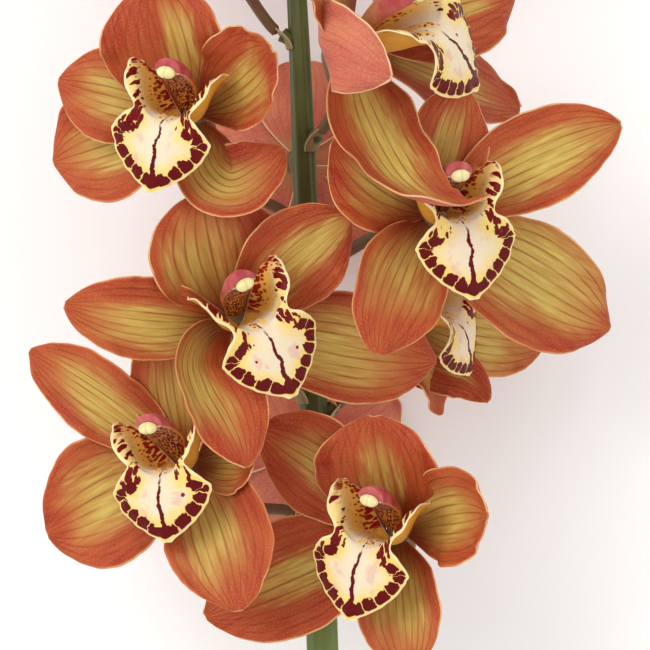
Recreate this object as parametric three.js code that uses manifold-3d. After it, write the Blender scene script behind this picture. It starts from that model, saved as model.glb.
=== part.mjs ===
// Cymbidium orchid stem: a cut flower spike lying on a flat surface with its blooms facing up.
// Millimetres, +Z up, +Y along the stem from its cut end towards its flowering tip.
// Angles are in degrees.

import * as THREE from "three";
import { mergeGeometries, mergeVertices } from "three/addons/utils/BufferGeometryUtils.js";
import Module from "manifold-3d";

const wasm = await Module();
wasm.setup();

// ---------------------------------------------------------------------------------------------
// Driving dimensions
// ---------------------------------------------------------------------------------------------

const CLEARANCE = 0.3; // between two pieces that touch on the real flower
const TEPAL_THICKNESS = 1.2;
const LIP_THICKNESS = 1.0;

// Where the middle of the whole stem lies on the axes that the lists below are measured from.
const MIDDLE = [-0.5, -45.5, 0];

const STEM = {
  axis: [
    [6, -330, 6.7],
    [4, -270, 19],
    [1, -190, 38],
    [-1, -110, 53],
    [-3.5, -40, 59],
    [-6.5, 40, 61],
    [-9.5, 110, 62],
    [-13, 165, 63],
    [-19, 218, 66],
  ],
  buttRadius: 6.2,
  tipRadius: 2.1,
  stubRadius: 2.5, // the joint that each pedicel grows from
  stubReach: 3.5,
};

const PEDICEL = { radius: 2.0, ovaryRadius: 2.9 };

const RECEPTACLE = { radius: 4.6, back: 3.5, front: 2.0 };

// A tepal's angle runs anticlockwise from the bloom's right hand. It leaves the bloom's face by
// lean, which curl changes towards the tip, and sweep turns it sideways along its length. Cup is
// how far its half width bends forward in its lower half, and open the same at the tip. A tepal
// with a path follows those points on the stem's axes instead, and its inner face turns on the way
// from the first of its facing directions to the second.
const TEPAL = {
  length: 60,
  width: 35,
  start: 3.4,
  lift: 0,
  lean: 20,
  curl: -22,
  sweep: 0,
  turn: 0,
  twist: 0,
  cup: 30,
  open: 6,
  waist: 0.16,
  widest: 0.5,
  wave: 0.05,
  waves: 1.6,
  phase: 0,
};

const STANDARD_BLOOM = {
  yaw: 0,
  pitch: 0,
  roll: 0,
  scale: 1,
  tepals: {
    dorsal_sepal: { angle: 90, width: 37 },
    left_petal: { angle: 158, lift: 1.4 },
    right_petal: { angle: 22, lift: 1.4 },
    left_sepal: { angle: -138, width: 38 },
    right_sepal: { angle: -42, width: 38 },
  },
};

// The lip starts below the column, runs forward and then hangs. Gape is the slope of its side
// walls at the throat, spread their slope at the end of the side lobes.
const LIP = {
  start: [-3.4, 2.5],
  length: 52,
  down: -4,
  drop: 94,
  tipCurl: 14,
  sideLobe: 16.5,
  midLobe: 4.5,
  gape: 84,
  spread: 76,
  flare: 22,
};

// How far along the lip each row of its grid lies: close together at the side lobes' front edge.
const LIP_ROWS = [0, 0.08, 0.18, 0.29, 0.39, 0.45, 0.49, 0.56, 0.7, 0.87, 1];

// The column rises from the bloom's face and arches forward over the lip. Its end is cut at hood
// degrees, so that its upper edge overhangs the anther cap.
const COLUMN = {
  start: [2.6, 4.4],
  length: 29,
  rise: 39,
  end: 5,
  halfWidth: 5.6,
  depth: 3.7,
  hood: 26,
};

const ANTHER_CAP = { halfWidth: 3.3, halfHeight: 2.1, halfDepth: 2.2, below: 0.3 };

// Blooms from the cut end up. Joint is where the pedicel leaves the stem: the place along +Y and
// the way round the stem, 0 to the right and 90 towards the top. What a bloom gives for its lip or
// a tepal replaces the usual value.
const BLOOMS = {
  bloom_01: {
    at: [25, -71, 92],
    yaw: -24,
    roll: 13,
    joint: [-100, 20],
    via: [[22, -96, 66]],
    tepals: {
      dorsal_sepal: { angle: 103, length: 43, width: 50, lean: 40, curl: -20 },
      left_petal: { angle: 140, length: 57, width: 36, lean: 28, sweep: 30 },
      right_petal: { angle: 32, length: 55, width: 36, lean: 20, curl: 32, sweep: -20, cup: 45 },
      left_sepal: { angle: -142, length: 70, width: 42, lean: 28 },
      right_sepal: { angle: -64, length: 47, width: 32, lean: 30 },
    },
  },
  bloom_02: {
    at: [-47, -47, 95],
    yaw: -20,
    roll: -6,
    joint: [-72, 165],
    via: [[-32, -62, 70]],
    lip: { length: 46 },
    tepals: {
      dorsal_sepal: { angle: 88, length: 45, width: 33 },
      left_petal: { angle: 133, length: 64, width: 28, sweep: 12 },
      right_petal: { angle: -6, length: 32, width: 22, curl: 20, cup: 40 },
      left_sepal: { angle: -160, length: 54, width: 47, lean: 14 },
      right_sepal: { angle: -52, length: 56, width: 41, lean: 30, sweep: -34 },
    },
  },
  bloom_03: {
    at: [-8, -44, 36.6],
    yaw: 180,
    roll: 8,
    small: true,
    joint: [-66, -80],
    via: [[-4, -60, 48]],
    lip: { sideLobe: 13 },
    tepals: {
      dorsal_sepal: { length: 46, lean: 24, curl: 30 },
      left_petal: { length: 56, lean: 24, curl: 52 },
      right_petal: { length: 56, lean: 24, curl: 52 },
      left_sepal: { angle: -135, length: 52, lean: 34, curl: 30 },
      right_sepal: { angle: -45, length: 52, lean: 34, curl: 30 },
    },
  },
  bloom_04: {
    at: [24, 4, 50],
    yaw: 60,
    roll: -32,
    scale: 0.9,
    small: true,
    joint: [-34, 0],
    via: [[8, -16, 50]],
    lip: { length: 50 },
    tepals: {
      dorsal_sepal: { angle: 92, length: 40, lean: 24 },
      left_petal: { angle: 150, length: 34, lean: 30 },
      right_petal: { angle: -42, length: 70, width: 40, lean: 34, curl: -8 },
      left_sepal: { angle: -100, length: 42, width: 24, lean: 30 },
      right_sepal: {
        path: [[24.7, 1, 49.4], [30, -8, 46.5], [40, -15.5, 43], [51, -19.5, 43.5], [58.5, -27, 44.5]],
        facing: [[0.3, 0.2, 0.93], [0.2, 0.35, 0.9]],
        width: 21,
        cup: 20,
      },
    },
  },
  bloom_05: {
    at: [-31, 2, 101],
    yaw: 18,
    roll: -26,
    joint: [-26, 150],
    via: [[-24, -12, 76]],
    tepals: {
      dorsal_sepal: { angle: 90, length: 43, width: 50, lean: 22, sweep: -20 },
      left_petal: { angle: 158, length: 58, width: 29, lean: 15, sweep: -18 },
      right_petal: { angle: 29, length: 50, width: 35, lean: 32, sweep: -22 },
      left_sepal: {
        path: [[-32.6, -0.3, 104], [-38.4, -5.4, 109], [-41.1, -12.6, 114], [-38.1, -21.1, 119],
          [-33, -29.6, 123], [-28.9, -38.4, 126], [-26.2, -47.6, 127]],
        facing: [[0.5, 0.1, 0.86], [0.45, 0, 0.89]],
        width: 33,
        cup: 58,
      },
      right_sepal: { angle: -43, length: 71, width: 39, lean: 13, sweep: 12 },
    },
  },
  bloom_06: {
    at: [37, 37, 100],
    yaw: 18,
    roll: -9,
    joint: [14, 45],
    via: [[16, 30, 80]],
    tepals: {
      dorsal_sepal: { angle: 84, length: 43, width: 30, lean: 28, sweep: -25 },
      left_petal: { angle: 138, length: 43, width: 42, lean: 18 },
      right_petal: { angle: 27, length: 68, width: 34, lean: 27, sweep: -18 },
      left_sepal: { angle: -140, length: 54, width: 35, lean: 30, sweep: 25 },
      right_sepal: { angle: -47, length: 73, width: 43, lean: 10, sweep: 16 },
    },
  },
  bloom_07: {
    at: [-10, 58, 36.6],
    yaw: 180,
    roll: -6,
    small: true,
    joint: [34, -100],
    via: [[-8, 42, 48]],
    lip: { sideLobe: 13 },
    tepals: {
      dorsal_sepal: { length: 46, lean: 24, curl: 30 },
      left_petal: { length: 56, lean: 24, curl: 52 },
      right_petal: { length: 56, lean: 24, curl: 52 },
      left_sepal: { angle: -135, length: 52, lean: 34, curl: 30 },
      right_sepal: { angle: -45, length: 52, lean: 34, curl: 30 },
    },
  },
  bloom_08: {
    at: [-45, 71, 104],
    yaw: -18,
    roll: 11,
    joint: [34, 160],
    via: [[-32, 50, 78]],
    lip: { length: 49 },
    tepals: {
      dorsal_sepal: { angle: 116, length: 45, width: 46, lean: 32, sweep: -10 },
      left_petal: { angle: 176, length: 45, width: 34, lean: 18 },
      right_petal: { angle: 36, length: 54, width: 36, lean: 22, curl: 34, cup: 40 },
      left_sepal: { angle: -153, length: 51, width: 43, lean: 8 },
      right_sepal: {
        path: [[-42.3, 68.8, 104.8], [-40.6, 61.5, 108], [-38.4, 53, 114], [-31.6, 47.9, 118],
          [-22.1, 52.7, 118], [-13.9, 59.5, 117]],
        facing: [[0.1, 0.2, 0.97], [-0.1, 0.3, 0.95]],
        width: 28,
        cup: 24,
      },
    },
  },
  bloom_09: {
    at: [10.3, 94.6, 118],
    yaw: 55,
    pitch: 9,
    roll: -51,
    scale: 1.1,
    joint: [62, 40],
    via: [[4, 78, 84]],
    tepals: {
      dorsal_sepal: { angle: 92, length: 46, width: 36 },
      left_petal: {
        path: [[9, 95.5, 120.5], [1.5, 95, 131], [-1.2, 92.8, 143], [4, 89, 153], [13, 84, 158.5],
          [21.8, 80, 160]],
        facing: [[0.82, 0.15, 0.55], [0.25, 0.1, -0.96]],
        width: 30,
        cup: 36,
        open: 20,
      },
      right_petal: { angle: -32, length: 60, width: 34, lean: 34, sweep: -10 },
      left_sepal: {
        path: [[11.5, 91.5, 119], [9.5, 86, 119.5], [12.2, 73, 121], [18, 59, 126],
          [27.6, 45.6, 138], [40.5, 39.4, 146.5], [54, 42.6, 150]],
        facing: [[0.35, 0.1, 0.93], [-0.16, 0.98, 0.05]],
        width: 35,
        widest: 0.33,
        cup: 52,
        open: 14,
      },
      right_sepal: { angle: -66, length: 72, width: 25, lean: 14, curl: -10 },
    },
  },
  bloom_10: {
    at: [-52, 166, 86],
    yaw: -30,
    pitch: 10,
    roll: 10,
    small: true,
    joint: [98, 175],
    via: [[-34, 128, 72]],
    tepals: {
      dorsal_sepal: { length: 50 },
      left_petal: { length: 54 },
      right_petal: { length: 44, lean: 30 },
      left_sepal: { length: 52 },
      right_sepal: { angle: -60, length: 44, lean: 30 },
    },
  },
  bloom_11: {
    at: [36, 190, 70],
    yaw: 34,
    pitch: 10,
    roll: -12,
    small: true,
    joint: [134, 10],
    via: [[14, 160, 66]],
    tepals: {
      dorsal_sepal: { length: 48 },
      left_petal: { length: 42, lean: 30 },
      right_petal: { length: 54 },
      left_sepal: { angle: -120, length: 44, lean: 30 },
      right_sepal: { length: 50 },
    },
  },
};

// Buds at the flowering tip: joint as for a bloom, then the points of their own curved axis.
const BUDS = {
  bud_01: { joint: [176, 170], axis: [[-34, 196, 72], [-46, 214, 78]], length: 34, radius: 6.6 },
  bud_02: { joint: [200, 30], axis: [[-6, 218, 74], [-2, 234, 80]], length: 28, radius: 5.4 },
};

// ---------------------------------------------------------------------------------------------
// Geometry helpers
// ---------------------------------------------------------------------------------------------

const { degToRad, clamp, lerp } = THREE.MathUtils;
const vector = (x, y, z) => new THREE.Vector3(x, y, z);
const ramp = (from, to, x) => THREE.MathUtils.smoothstep(x, from, to);

// Drops what welding doesn't need and joins the vertices that lie together.
function welded(parts) {
  for (const part of parts) {
    part.deleteAttribute("normal");
    part.deleteAttribute("uv");
  }
  return mergeVertices(mergeGeometries(parts), 1e-4);
}

// Adds up steps along a direction that changes over the way, from 0 to the share s of a length.
function walked(start, length, s, direction) {
  const steps = 16;
  const point = start.clone();
  for (let i = 0; i < steps; i += 1) {
    point.addScaledVector(direction((s * (i + 0.5)) / steps), (length * s) / steps);
  }
  return point;
}

// A thin closed blade on the grid of a middle surface. Both faces split into the same triangles.
function blade(across, along, thickness, surface) {
  const nudge = 1e-3;
  const point = (i, j, side) => {
    const [u, v] = [i / across, j / along];
    const here = surface(u, v);
    const ahead = v < 0.5 ? surface(u, v + nudge).sub(here) : surface(u, v - nudge).sub(here).negate();
    const sideways = surface(u + nudge, v).sub(surface(u - nudge, v));
    const normal = sideways.cross(ahead).normalize();
    return here.addScaledVector(normal, (side * thickness) / 2);
  };
  const face = (side) => {
    const grid = new THREE.PlaneGeometry(across, along, across, along);
    const { position } = grid.attributes;
    for (let n = 0; n < position.count; n += 1) {
      const i = Math.round(position.getX(n) + across / 2);
      const j = Math.round(position.getY(n) + along / 2);
      position.setXYZ(n, ...point(i, j, side));
    }
    return grid;
  };
  const back = face(-1);
  back.setIndex([...back.index.array].reverse());
  const around = 2 * (across + along);
  const rim = new THREE.PlaneGeometry(around, 2, around, 1);
  const { position } = rim.attributes;
  for (let n = 0; n < position.count; n += 1) {
    const step = Math.round(position.getX(n) + around / 2) % around;
    let [i, j] = [step, 0];
    if (step > across) [i, j] = [across, step - across];
    if (step > across + along) [i, j] = [2 * across + along - step, along];
    if (step > 2 * across + along) [i, j] = [0, around - step];
    position.setXYZ(n, ...point(i, j, position.getY(n)));
  }
  return welded([face(1), back, rim]);
}

// A closed rod: place(x, y, along) takes a point of the unit disc and the way along it, 0 to 1.
function rod(sides, steps, place) {
  const shape = new THREE.CylinderGeometry(1, 1, 1, sides, steps);
  const { position } = shape.attributes;
  for (let n = 0; n < position.count; n += 1) {
    const [x, z] = [position.getX(n), position.getZ(n)];
    const turn = (Math.round((Math.atan2(z, x) * sides) / (2 * Math.PI)) + sides) % sides;
    const reach = Math.round(Math.hypot(x, z));
    const angle = (2 * Math.PI * turn) / sides;
    const along = Math.round((position.getY(n) + 0.5) * steps) / steps;
    position.setXYZ(n, ...place(reach * Math.cos(angle), -reach * Math.sin(angle), along));
  }
  return welded([shape]);
}

// A rod along a curve. Its section turns with the curve as little as it can.
function limb(curve, sides, steps, radius) {
  const frames = curve.computeFrenetFrames(steps, false);
  return rod(sides, steps, (x, y, along) => {
    const step = Math.round(along * steps);
    const r = radius(along);
    return curve
      .getPointAt(along)
      .addScaledVector(frames.normals[step], r * x)
      .addScaledVector(frames.binormals[step], r * y);
  });
}

function solid(geometry) {
  const vertProperties = Float32Array.from(geometry.attributes.position.array);
  const triVerts = Uint32Array.from(geometry.index.array);
  return new wasm.Manifold(new wasm.Mesh({ numProp: 3, vertProperties, triVerts }));
}

function geometryOf(manifold) {
  const { vertProperties, triVerts } = manifold.getMesh();
  const geometry = new THREE.BufferGeometry();
  geometry.setAttribute("position", new THREE.BufferAttribute(vertProperties, 3));
  geometry.setIndex(new THREE.BufferAttribute(triVerts, 1));
  return geometry;
}

const fused = (geometries) => geometryOf(geometries.map(solid).reduce((a, b) => a.add(b)));

// ---------------------------------------------------------------------------------------------
// Pieces of a bloom, in the bloom's own frame: x right, y towards the dorsal sepal, z facing
// ---------------------------------------------------------------------------------------------

function tepalHalfWidth(t, s) {
  const rise = lerp(t.waist, 1, Math.sin((Math.PI / 2) * Math.min(1, s / t.widest)));
  const past = Math.max(0, (s - t.widest) / (1 - t.widest));
  const fall = Math.max(0.05, (1 - past ** 2.1) ** 0.74);
  return (t.width / 2) * rise * fall;
}

// Where the middle line of a tepal is at s, and which ways its width and its inner face point.
function leaningSpine(t) {
  const heading = (s) => degToRad(t.angle + t.sweep * s);
  const outward = (s) => {
    const lean = degToRad(t.lean + t.curl * s);
    const flat = Math.cos(lean);
    return vector(flat * Math.cos(heading(s)), flat * Math.sin(heading(s)), Math.sin(lean));
  };
  const start = vector(t.start * Math.cos(heading(0)), t.start * Math.sin(heading(0)), t.lift);
  return (s) => {
    const ahead = outward(s);
    const side = vector(Math.sin(heading(s)), -Math.cos(heading(s)), 0);
    side.applyAxisAngle(ahead, degToRad(t.turn + t.twist * s));
    return { point: walked(start, t.length, s, outward), side, face: side.clone().cross(ahead) };
  };
}

// The same for a tepal that bends along a path of its own.
function pathSpine(t) {
  const curve = new THREE.CatmullRomCurve3(t.path.map((p) => vector(...p)));
  const [first, last] = t.facing.map((d) => vector(...d).normalize());
  return (s) => {
    const ahead = curve.getTangentAt(s);
    const side = ahead.clone().cross(first.clone().lerp(last, ramp(0.1, 0.85, s))).normalize();
    return { point: curve.getPointAt(s), side, face: side.clone().cross(ahead) };
  };
}

function tepalSurface(t) {
  const spine = t.path ? pathSpine(t) : leaningSpine(t);
  return (u, v) => {
    const across = 2 * u - 1;
    const s = 1 - (1 - v) ** 1.35;
    const { point, side, face } = spine(s);
    const half = tepalHalfWidth(t, s);
    const bend = degToRad(lerp(t.cup * ramp(-0.1, 0.4, s), t.open, ramp(0.4, 1, s))) || 1e-6;
    const lap = Math.sin(2 * Math.PI * t.waves * s + degToRad(t.phase + (across > 0 ? 75 : 0)));
    const ripple = t.wave * half * Math.abs(across) ** 3 * lap;
    return point
      .addScaledVector(side, (half * Math.sin(bend * across)) / bend)
      .addScaledVector(face, (half * (1 - Math.cos(bend * across))) / bend + ripple);
  };
}

function lipHalfWidth(lip, s) {
  const core = lerp(2.2, 14, ramp(0, 0.5, s));
  const front = clamp((s - 0.28) / 0.205, 0, 1);
  const sideLobe = lip.sideLobe * ramp(0.03, 0.2, s) * (1 - front ** 2.4) ** 0.6;
  const past = clamp((s - 0.58) / 0.42, 0, 1);
  const taper = Math.max(0.06, (1 - past ** 2) ** 0.85);
  return (core + sideLobe + lip.midLobe * ramp(0.5, 0.6, s)) * taper;
}

function lipSurface(lip) {
  const drop = (s) => degToRad(lerp(lip.down, lip.drop, ramp(0.34, 0.68, s)) + lip.tipCurl * s ** 5);
  const forward = (s) => vector(0, -Math.sin(drop(s)), Math.cos(drop(s)));
  return (u, v) => {
    const row = v * (LIP_ROWS.length - 1);
    const below = Math.min(Math.floor(row), LIP_ROWS.length - 2);
    const s = lerp(LIP_ROWS[below], LIP_ROWS[below + 1], row - below);
    const inner = vector(0, Math.cos(drop(s)), Math.sin(drop(s)));
    const wall = lerp(lerp(lip.gape, lip.spread, ramp(0.1, 0.42, s)), -14, ramp(0.42, 0.61, s));
    const flare = lerp(lip.flare, 12, ramp(0.42, 0.61, s));
    const across = 2 * u - 1;
    const reach = Math.abs(across) * lipHalfWidth(lip, s);
    const section = (x) => {
      const edge = x * Math.abs(across);
      const slope = degToRad(wall * ramp(0, 0.6, edge) - flare * Math.max(0, 2 * edge - 1) ** 2);
      return vector(-Math.sign(across) * Math.cos(slope), 0, 0).addScaledVector(inner, Math.sin(slope));
    };
    const middle = walked(vector(0, ...lip.start), lip.length, s, forward);
    return walked(middle, reach, 1, section);
  };
}

const columnRise = (s) => degToRad(lerp(COLUMN.rise, COLUMN.end, s));
const columnForward = (s) => vector(0, Math.sin(columnRise(s)), Math.cos(columnRise(s)));
const columnAbove = (s) => vector(0, Math.cos(columnRise(s)), -Math.sin(columnRise(s)));
const columnMiddle = (s) => walked(vector(0, ...COLUMN.start), COLUMN.length, s, columnForward);
const hoodSlope = Math.tan(degToRad(COLUMN.hood));

// The column arches forward over the lip, flat below and round above.
function columnGeometry() {
  return rod(8, 4, (x, y, s) => {
    const wings = lerp(0.6, 1, ramp(0.05, 0.5, s)) - 0.15 * ramp(0.8, 1, s);
    const round = lerp(0.8, 1, ramp(0, 0.6, s)) - 0.2 * ramp(0.8, 1, s);
    const under = y < 0 ? lerp(0.9, 0.35, ramp(0.1, 0.6, s)) : 1;
    const height = COLUMN.depth * round * under * y;
    return columnMiddle(s)
      .add(vector(COLUMN.halfWidth * wings * x, 0, 0))
      .addScaledVector(columnAbove(s), height)
      .addScaledVector(columnForward(s), height * hoodSlope * ramp(0.7, 1, s));
  });
}

// The anther cap is a dome whose flat back is seated under the hood, on the column's end.
function capGeometry() {
  const flatBack = -0.3 * ANTHER_CAP.halfDepth;
  const cap = welded([new THREE.SphereGeometry(1, 8, 4)]);
  cap.scale(ANTHER_CAP.halfWidth, ANTHER_CAP.halfHeight, ANTHER_CAP.halfDepth);
  const { position } = cap.attributes;
  for (let n = 0; n < position.count; n += 1) position.setZ(n, Math.max(position.getZ(n), flatBack));
  const facing = columnRise(1) - degToRad(COLUMN.hood);
  cap.rotateX(-facing);
  const seat = columnMiddle(1)
    .addScaledVector(columnAbove(1), -ANTHER_CAP.below)
    .addScaledVector(columnForward(1), -ANTHER_CAP.below * hoodSlope)
    .addScaledVector(vector(0, Math.sin(facing), Math.cos(facing)), CLEARANCE - flatBack);
  cap.translate(...seat);
  return cap;
}

// The knob behind the tepals that they all grow from.
function receptacleGeometry() {
  return rod(8, 2, (x, y, along) => {
    const radius = RECEPTACLE.radius * (along === 0.5 ? 1 : 0.75);
    return vector(radius * x, radius * y, lerp(-RECEPTACLE.back, RECEPTACLE.front, along));
  });
}

// ---------------------------------------------------------------------------------------------
// Materials and placing
// ---------------------------------------------------------------------------------------------

const flesh = (color, roughness) =>
  new THREE.MeshStandardMaterial({ color, roughness, metalness: 0, flatShading: true });

const MATERIALS = {
  tepals: flesh("#d9733f", 0.55),
  lip: flesh("#f0d9a0", 0.5),
  column: flesh("#c9566a", 0.5),
  cap: flesh("#efe3a0", 0.5),
  pedicel: flesh("#8a6a3c", 0.6),
  stem: flesh("#6f7a35", 0.55),
  bud: flesh("#b9803f", 0.55),
};

function add(parent, name, geometry, material) {
  const mesh = new THREE.Mesh(geometry, material);
  mesh.name = name;
  parent.add(mesh);
}

// ---------------------------------------------------------------------------------------------
// The stem with its joints, the pedicels and the buds
// ---------------------------------------------------------------------------------------------

const stemAxis = new THREE.CatmullRomCurve3(STEM.axis.map((p) => vector(...p)));

const stemRadius = (along) => lerp(STEM.buttRadius, STEM.tipRadius, along ** 1.9);

// The way along the axis at which it passes a given place along +Y.
function stemAlong(y) {
  let [low, high] = [0, 1];
  while (high - low > 1e-6) {
    const middle = (low + high) / 2;
    if (stemAxis.getPointAt(middle).y < y) low = middle;
    else high = middle;
  }
  return low;
}

// Where a pedicel leaves the stem: its joint's root on the axis, its tip and its direction.
function jointAt([y, round]) {
  const along = stemAlong(y);
  const root = stemAxis.getPointAt(along);
  const ahead = stemAxis.getTangentAt(along);
  const right = vector(1, 0, 0).addScaledVector(ahead, -ahead.x).normalize();
  const up = right.clone().cross(ahead);
  const out = right
    .multiplyScalar(Math.cos(degToRad(round)))
    .addScaledVector(up, Math.sin(degToRad(round)));
  const direction = out.multiplyScalar(0.82).addScaledVector(ahead, 0.57).normalize();
  const tip = root.clone().addScaledVector(direction, stemRadius(along) / 0.82 + STEM.stubReach);
  return { root, tip, direction };
}

function stemGeometry() {
  const parts = [limb(stemAxis, 10, 20, stemRadius)];
  for (const { joint } of [...Object.values(BLOOMS), ...Object.values(BUDS)]) {
    const { root, tip } = jointAt(joint);
    parts.push(limb(new THREE.LineCurve3(root, tip), 6, 1, () => STEM.stubRadius));
  }
  return fused(parts);
}

function pedicelGeometry(bloom, facing) {
  const { tip, direction } = jointAt(bloom.joint);
  const back = vector(...bloom.at).addScaledVector(facing, -RECEPTACLE.back * (bloom.scale ?? 1));
  const curve = new THREE.CatmullRomCurve3([
    tip.clone().addScaledVector(direction, CLEARANCE),
    tip.clone().addScaledVector(direction, 3),
    ...bloom.via.map((p) => vector(...p)),
    back.clone().addScaledVector(facing, -6),
    back.clone().addScaledVector(facing, -CLEARANCE),
  ]);
  return limb(curve, 6, 8, (along) => lerp(PEDICEL.radius, PEDICEL.ovaryRadius, ramp(0.3, 0.85, along)));
}

function budGeometry(bud) {
  const { tip, direction } = jointAt(bud.joint);
  const curve = new THREE.CatmullRomCurve3([
    tip.clone().addScaledVector(direction, CLEARANCE),
    tip.clone().addScaledVector(direction, 4),
    ...bud.axis.map((p) => vector(...p)),
  ]);
  const neck = 1 - bud.length / curve.getLength();
  return limb(curve, 8, 10, (along) => {
    const swell = Math.sin(Math.PI * clamp((along - neck) / (1 - neck), 0, 1) ** 0.85) ** 0.8;
    return lerp(PEDICEL.radius, bud.radius, swell) * (along > 0.99 ? 0.4 : 1);
  });
}

function bloomGroup(name, spec) {
  const bloom = { ...STANDARD_BLOOM, ...spec };
  const group = new THREE.Group();
  group.position.set(...bloom.at);
  group.rotation.set(degToRad(-bloom.pitch), degToRad(bloom.yaw), degToRad(-bloom.roll), "YXZ");
  group.scale.setScalar(bloom.scale);
  group.updateMatrix();
  const home = group.matrix.clone().invert();
  const [across, along] = bloom.small ? [3, 5] : [4, 6];
  // What would sink below the surface that the stem lies on is pressed flat on it.
  const pressed = (surface, place) => (u, v) => {
    const point = surface(u, v).applyMatrix4(place);
    point.z = Math.max(point.z, TEPAL_THICKNESS / 2);
    return point.applyMatrix4(home);
  };
  const tepals = Object.entries(STANDARD_BLOOM.tepals).map(([key, shape]) => {
    const tepal = { ...TEPAL, ...shape, ...bloom.tepals[key] };
    const place = tepal.path ? new THREE.Matrix4() : group.matrix;
    return blade(across, along, TEPAL_THICKNESS, pressed(tepalSurface(tepal), place));
  });
  const lipGrid = bloom.small ? [4, 5] : [6, 10];
  const lip = blade(...lipGrid, LIP_THICKNESS, lipSurface({ ...LIP, ...bloom.lip }));
  add(group, `${name}_tepals`, fused([receptacleGeometry(), ...tepals]), MATERIALS.tepals);
  add(group, `${name}_lip`, lip, MATERIALS.lip);
  add(group, `${name}_column`, columnGeometry(), MATERIALS.column);
  add(group, `${name}_anther_cap`, capGeometry(), MATERIALS.cap);
  return group;
}

// ---------------------------------------------------------------------------------------------
// The whole flower spike
// ---------------------------------------------------------------------------------------------

const orchidStem = new THREE.Group();
orchidStem.position.set(...MIDDLE).negate();
add(orchidStem, "stem", stemGeometry(), MATERIALS.stem);
for (const [name, spec] of Object.entries(BLOOMS)) {
  const group = bloomGroup(name, spec);
  const facing = vector(0, 0, 1).applyQuaternion(group.quaternion);
  orchidStem.add(group);
  add(orchidStem, `${name}_pedicel`, pedicelGeometry(spec, facing), MATERIALS.pedicel);
}
for (const [name, bud] of Object.entries(BUDS)) add(orchidStem, name, budGeometry(bud), MATERIALS.bud);

export default orchidStem;
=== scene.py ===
"""Cymbidium orchid stem: a cut flower spike lying on a pale floor, its blooms facing up.

The sizes are in millimetres and degrees, on the axes that the stem was measured on: +Y along the
stem, +Z up, with MIDDLE the point that the object's own frame starts from. Meshes are in metres.
"""

import functools
import math

import bmesh
import bpy
from mathutils import Matrix, Vector


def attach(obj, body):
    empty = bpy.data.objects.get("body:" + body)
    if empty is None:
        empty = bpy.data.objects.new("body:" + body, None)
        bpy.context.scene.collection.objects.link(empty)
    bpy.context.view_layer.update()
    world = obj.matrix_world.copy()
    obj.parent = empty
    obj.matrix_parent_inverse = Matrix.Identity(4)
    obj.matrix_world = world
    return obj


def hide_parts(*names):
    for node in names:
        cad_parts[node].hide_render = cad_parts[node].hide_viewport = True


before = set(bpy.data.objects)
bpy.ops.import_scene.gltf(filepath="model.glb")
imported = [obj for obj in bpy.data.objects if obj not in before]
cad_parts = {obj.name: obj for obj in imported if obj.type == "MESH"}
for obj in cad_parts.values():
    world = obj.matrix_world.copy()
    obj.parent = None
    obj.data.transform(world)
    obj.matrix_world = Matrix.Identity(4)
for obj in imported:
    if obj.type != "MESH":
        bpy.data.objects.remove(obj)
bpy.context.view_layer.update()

# ---- Sizes ----

MM = 0.001
MIDDLE = Vector((-0.5, -45.5, 0))

CLEARANCE = 0.3  # between two pieces that touch on the real flower

# The flesh of a blade is full from FULL_FLESH inside its margin, and thins to a share at it.
TEPAL_WALL = {"thickness": 1.2, "share": 0.5}
LIP_WALL = {"thickness": 1.0, "share": 0.6}
FULL_FLESH = 4

# columns and rows of the grids that the blades are bent from
TEPAL_GRID = (16, 26)
LIP_GRID = (32, 50)
BRACT_GRID = (8, 8)

STEM = {
    "axis": [(6, -330, 6.7), (4, -270, 19), (1, -190, 38), (-1, -110, 53), (-3.5, -40, 59),
             (-6.5, 40, 61), (-9.5, 110, 62), (-13, 165, 63), (-19, 218, 66)],
    "butt_radius": 6.2,
    "tip_radius": 2.1,
    "ridges": 7,
    "ridge_height": 0.22,
}

# A stub at each joint leaves the stem outwards and forwards, and carries a pedicel or a bud.
STUB = {"radius": 2.5, "reach": 3.5, "outward": 0.82, "forward": 0.57, "swelling": 0.12}

PEDICEL = {"radius": 2.0, "ovary_radius": 2.9, "grooves": 6, "groove_depth": 0.12,
           "straight": 3, "neck": 6}

# the dry scale below each joint, which stands off the stem at its tip
BRACT = {"length": 11, "width": 8, "thickness": 0.6, "below": 1.5, "gap": 0.8, "stand": 5}

RECEPTACLE = {"radius": 4.6, "back": 3.5, "front": 2.0}

# A tepal's angle runs anticlockwise from the bloom's right hand. It leaves the bloom's face by
# lean, which curl changes towards the tip, and sweep turns it sideways along its length. Cup is
# how far its half width bends forward in its lower half, and open the same at the tip. A tepal
# with a path follows those points on the stem's axes instead, and its inner face turns on the way
# from the first of its facing directions to the second.
# Gold is where its golden middle lies, -1 to 1 across it, spread how far that reaches to each
# side, reach how far along the tepal, and blush how red the rest of it is.
TEPAL = {
    "length": 60, "width": 35, "waist": 0.16, "widest": 0.5,
    "start": 3.4, "lift": 0, "lean": 20, "curl": -22, "sweep": 0, "cup": 30, "open": 6,
    "wave": 0.05, "waves": 1.6,
    "gold": 0, "spread": 0.5, "reach": 0.8, "blush": 0.6,
}

MIDRIB = {"depth": 0.6, "width": 1.4}  # the groove along the middle of a tepal
FRILL = {"height": 0.5, "side": 0.45, "length": 9.5}  # the fine waves of a tepal's margin
ROLL = {"height": 1.3, "length": 25}  # and its broad ones
VEINS = 5  # long veins on each side of a tepal's middle one

STANDARD_TEPALS = {
    "dorsal_sepal": {"angle": 90, "width": 37},
    "left_petal": {"angle": 158, "lift": 1.4},
    "right_petal": {"angle": 22, "lift": 1.4},
    "left_sepal": {"angle": -138, "width": 38},
    "right_sepal": {"angle": -42, "width": 38},
}

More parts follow.
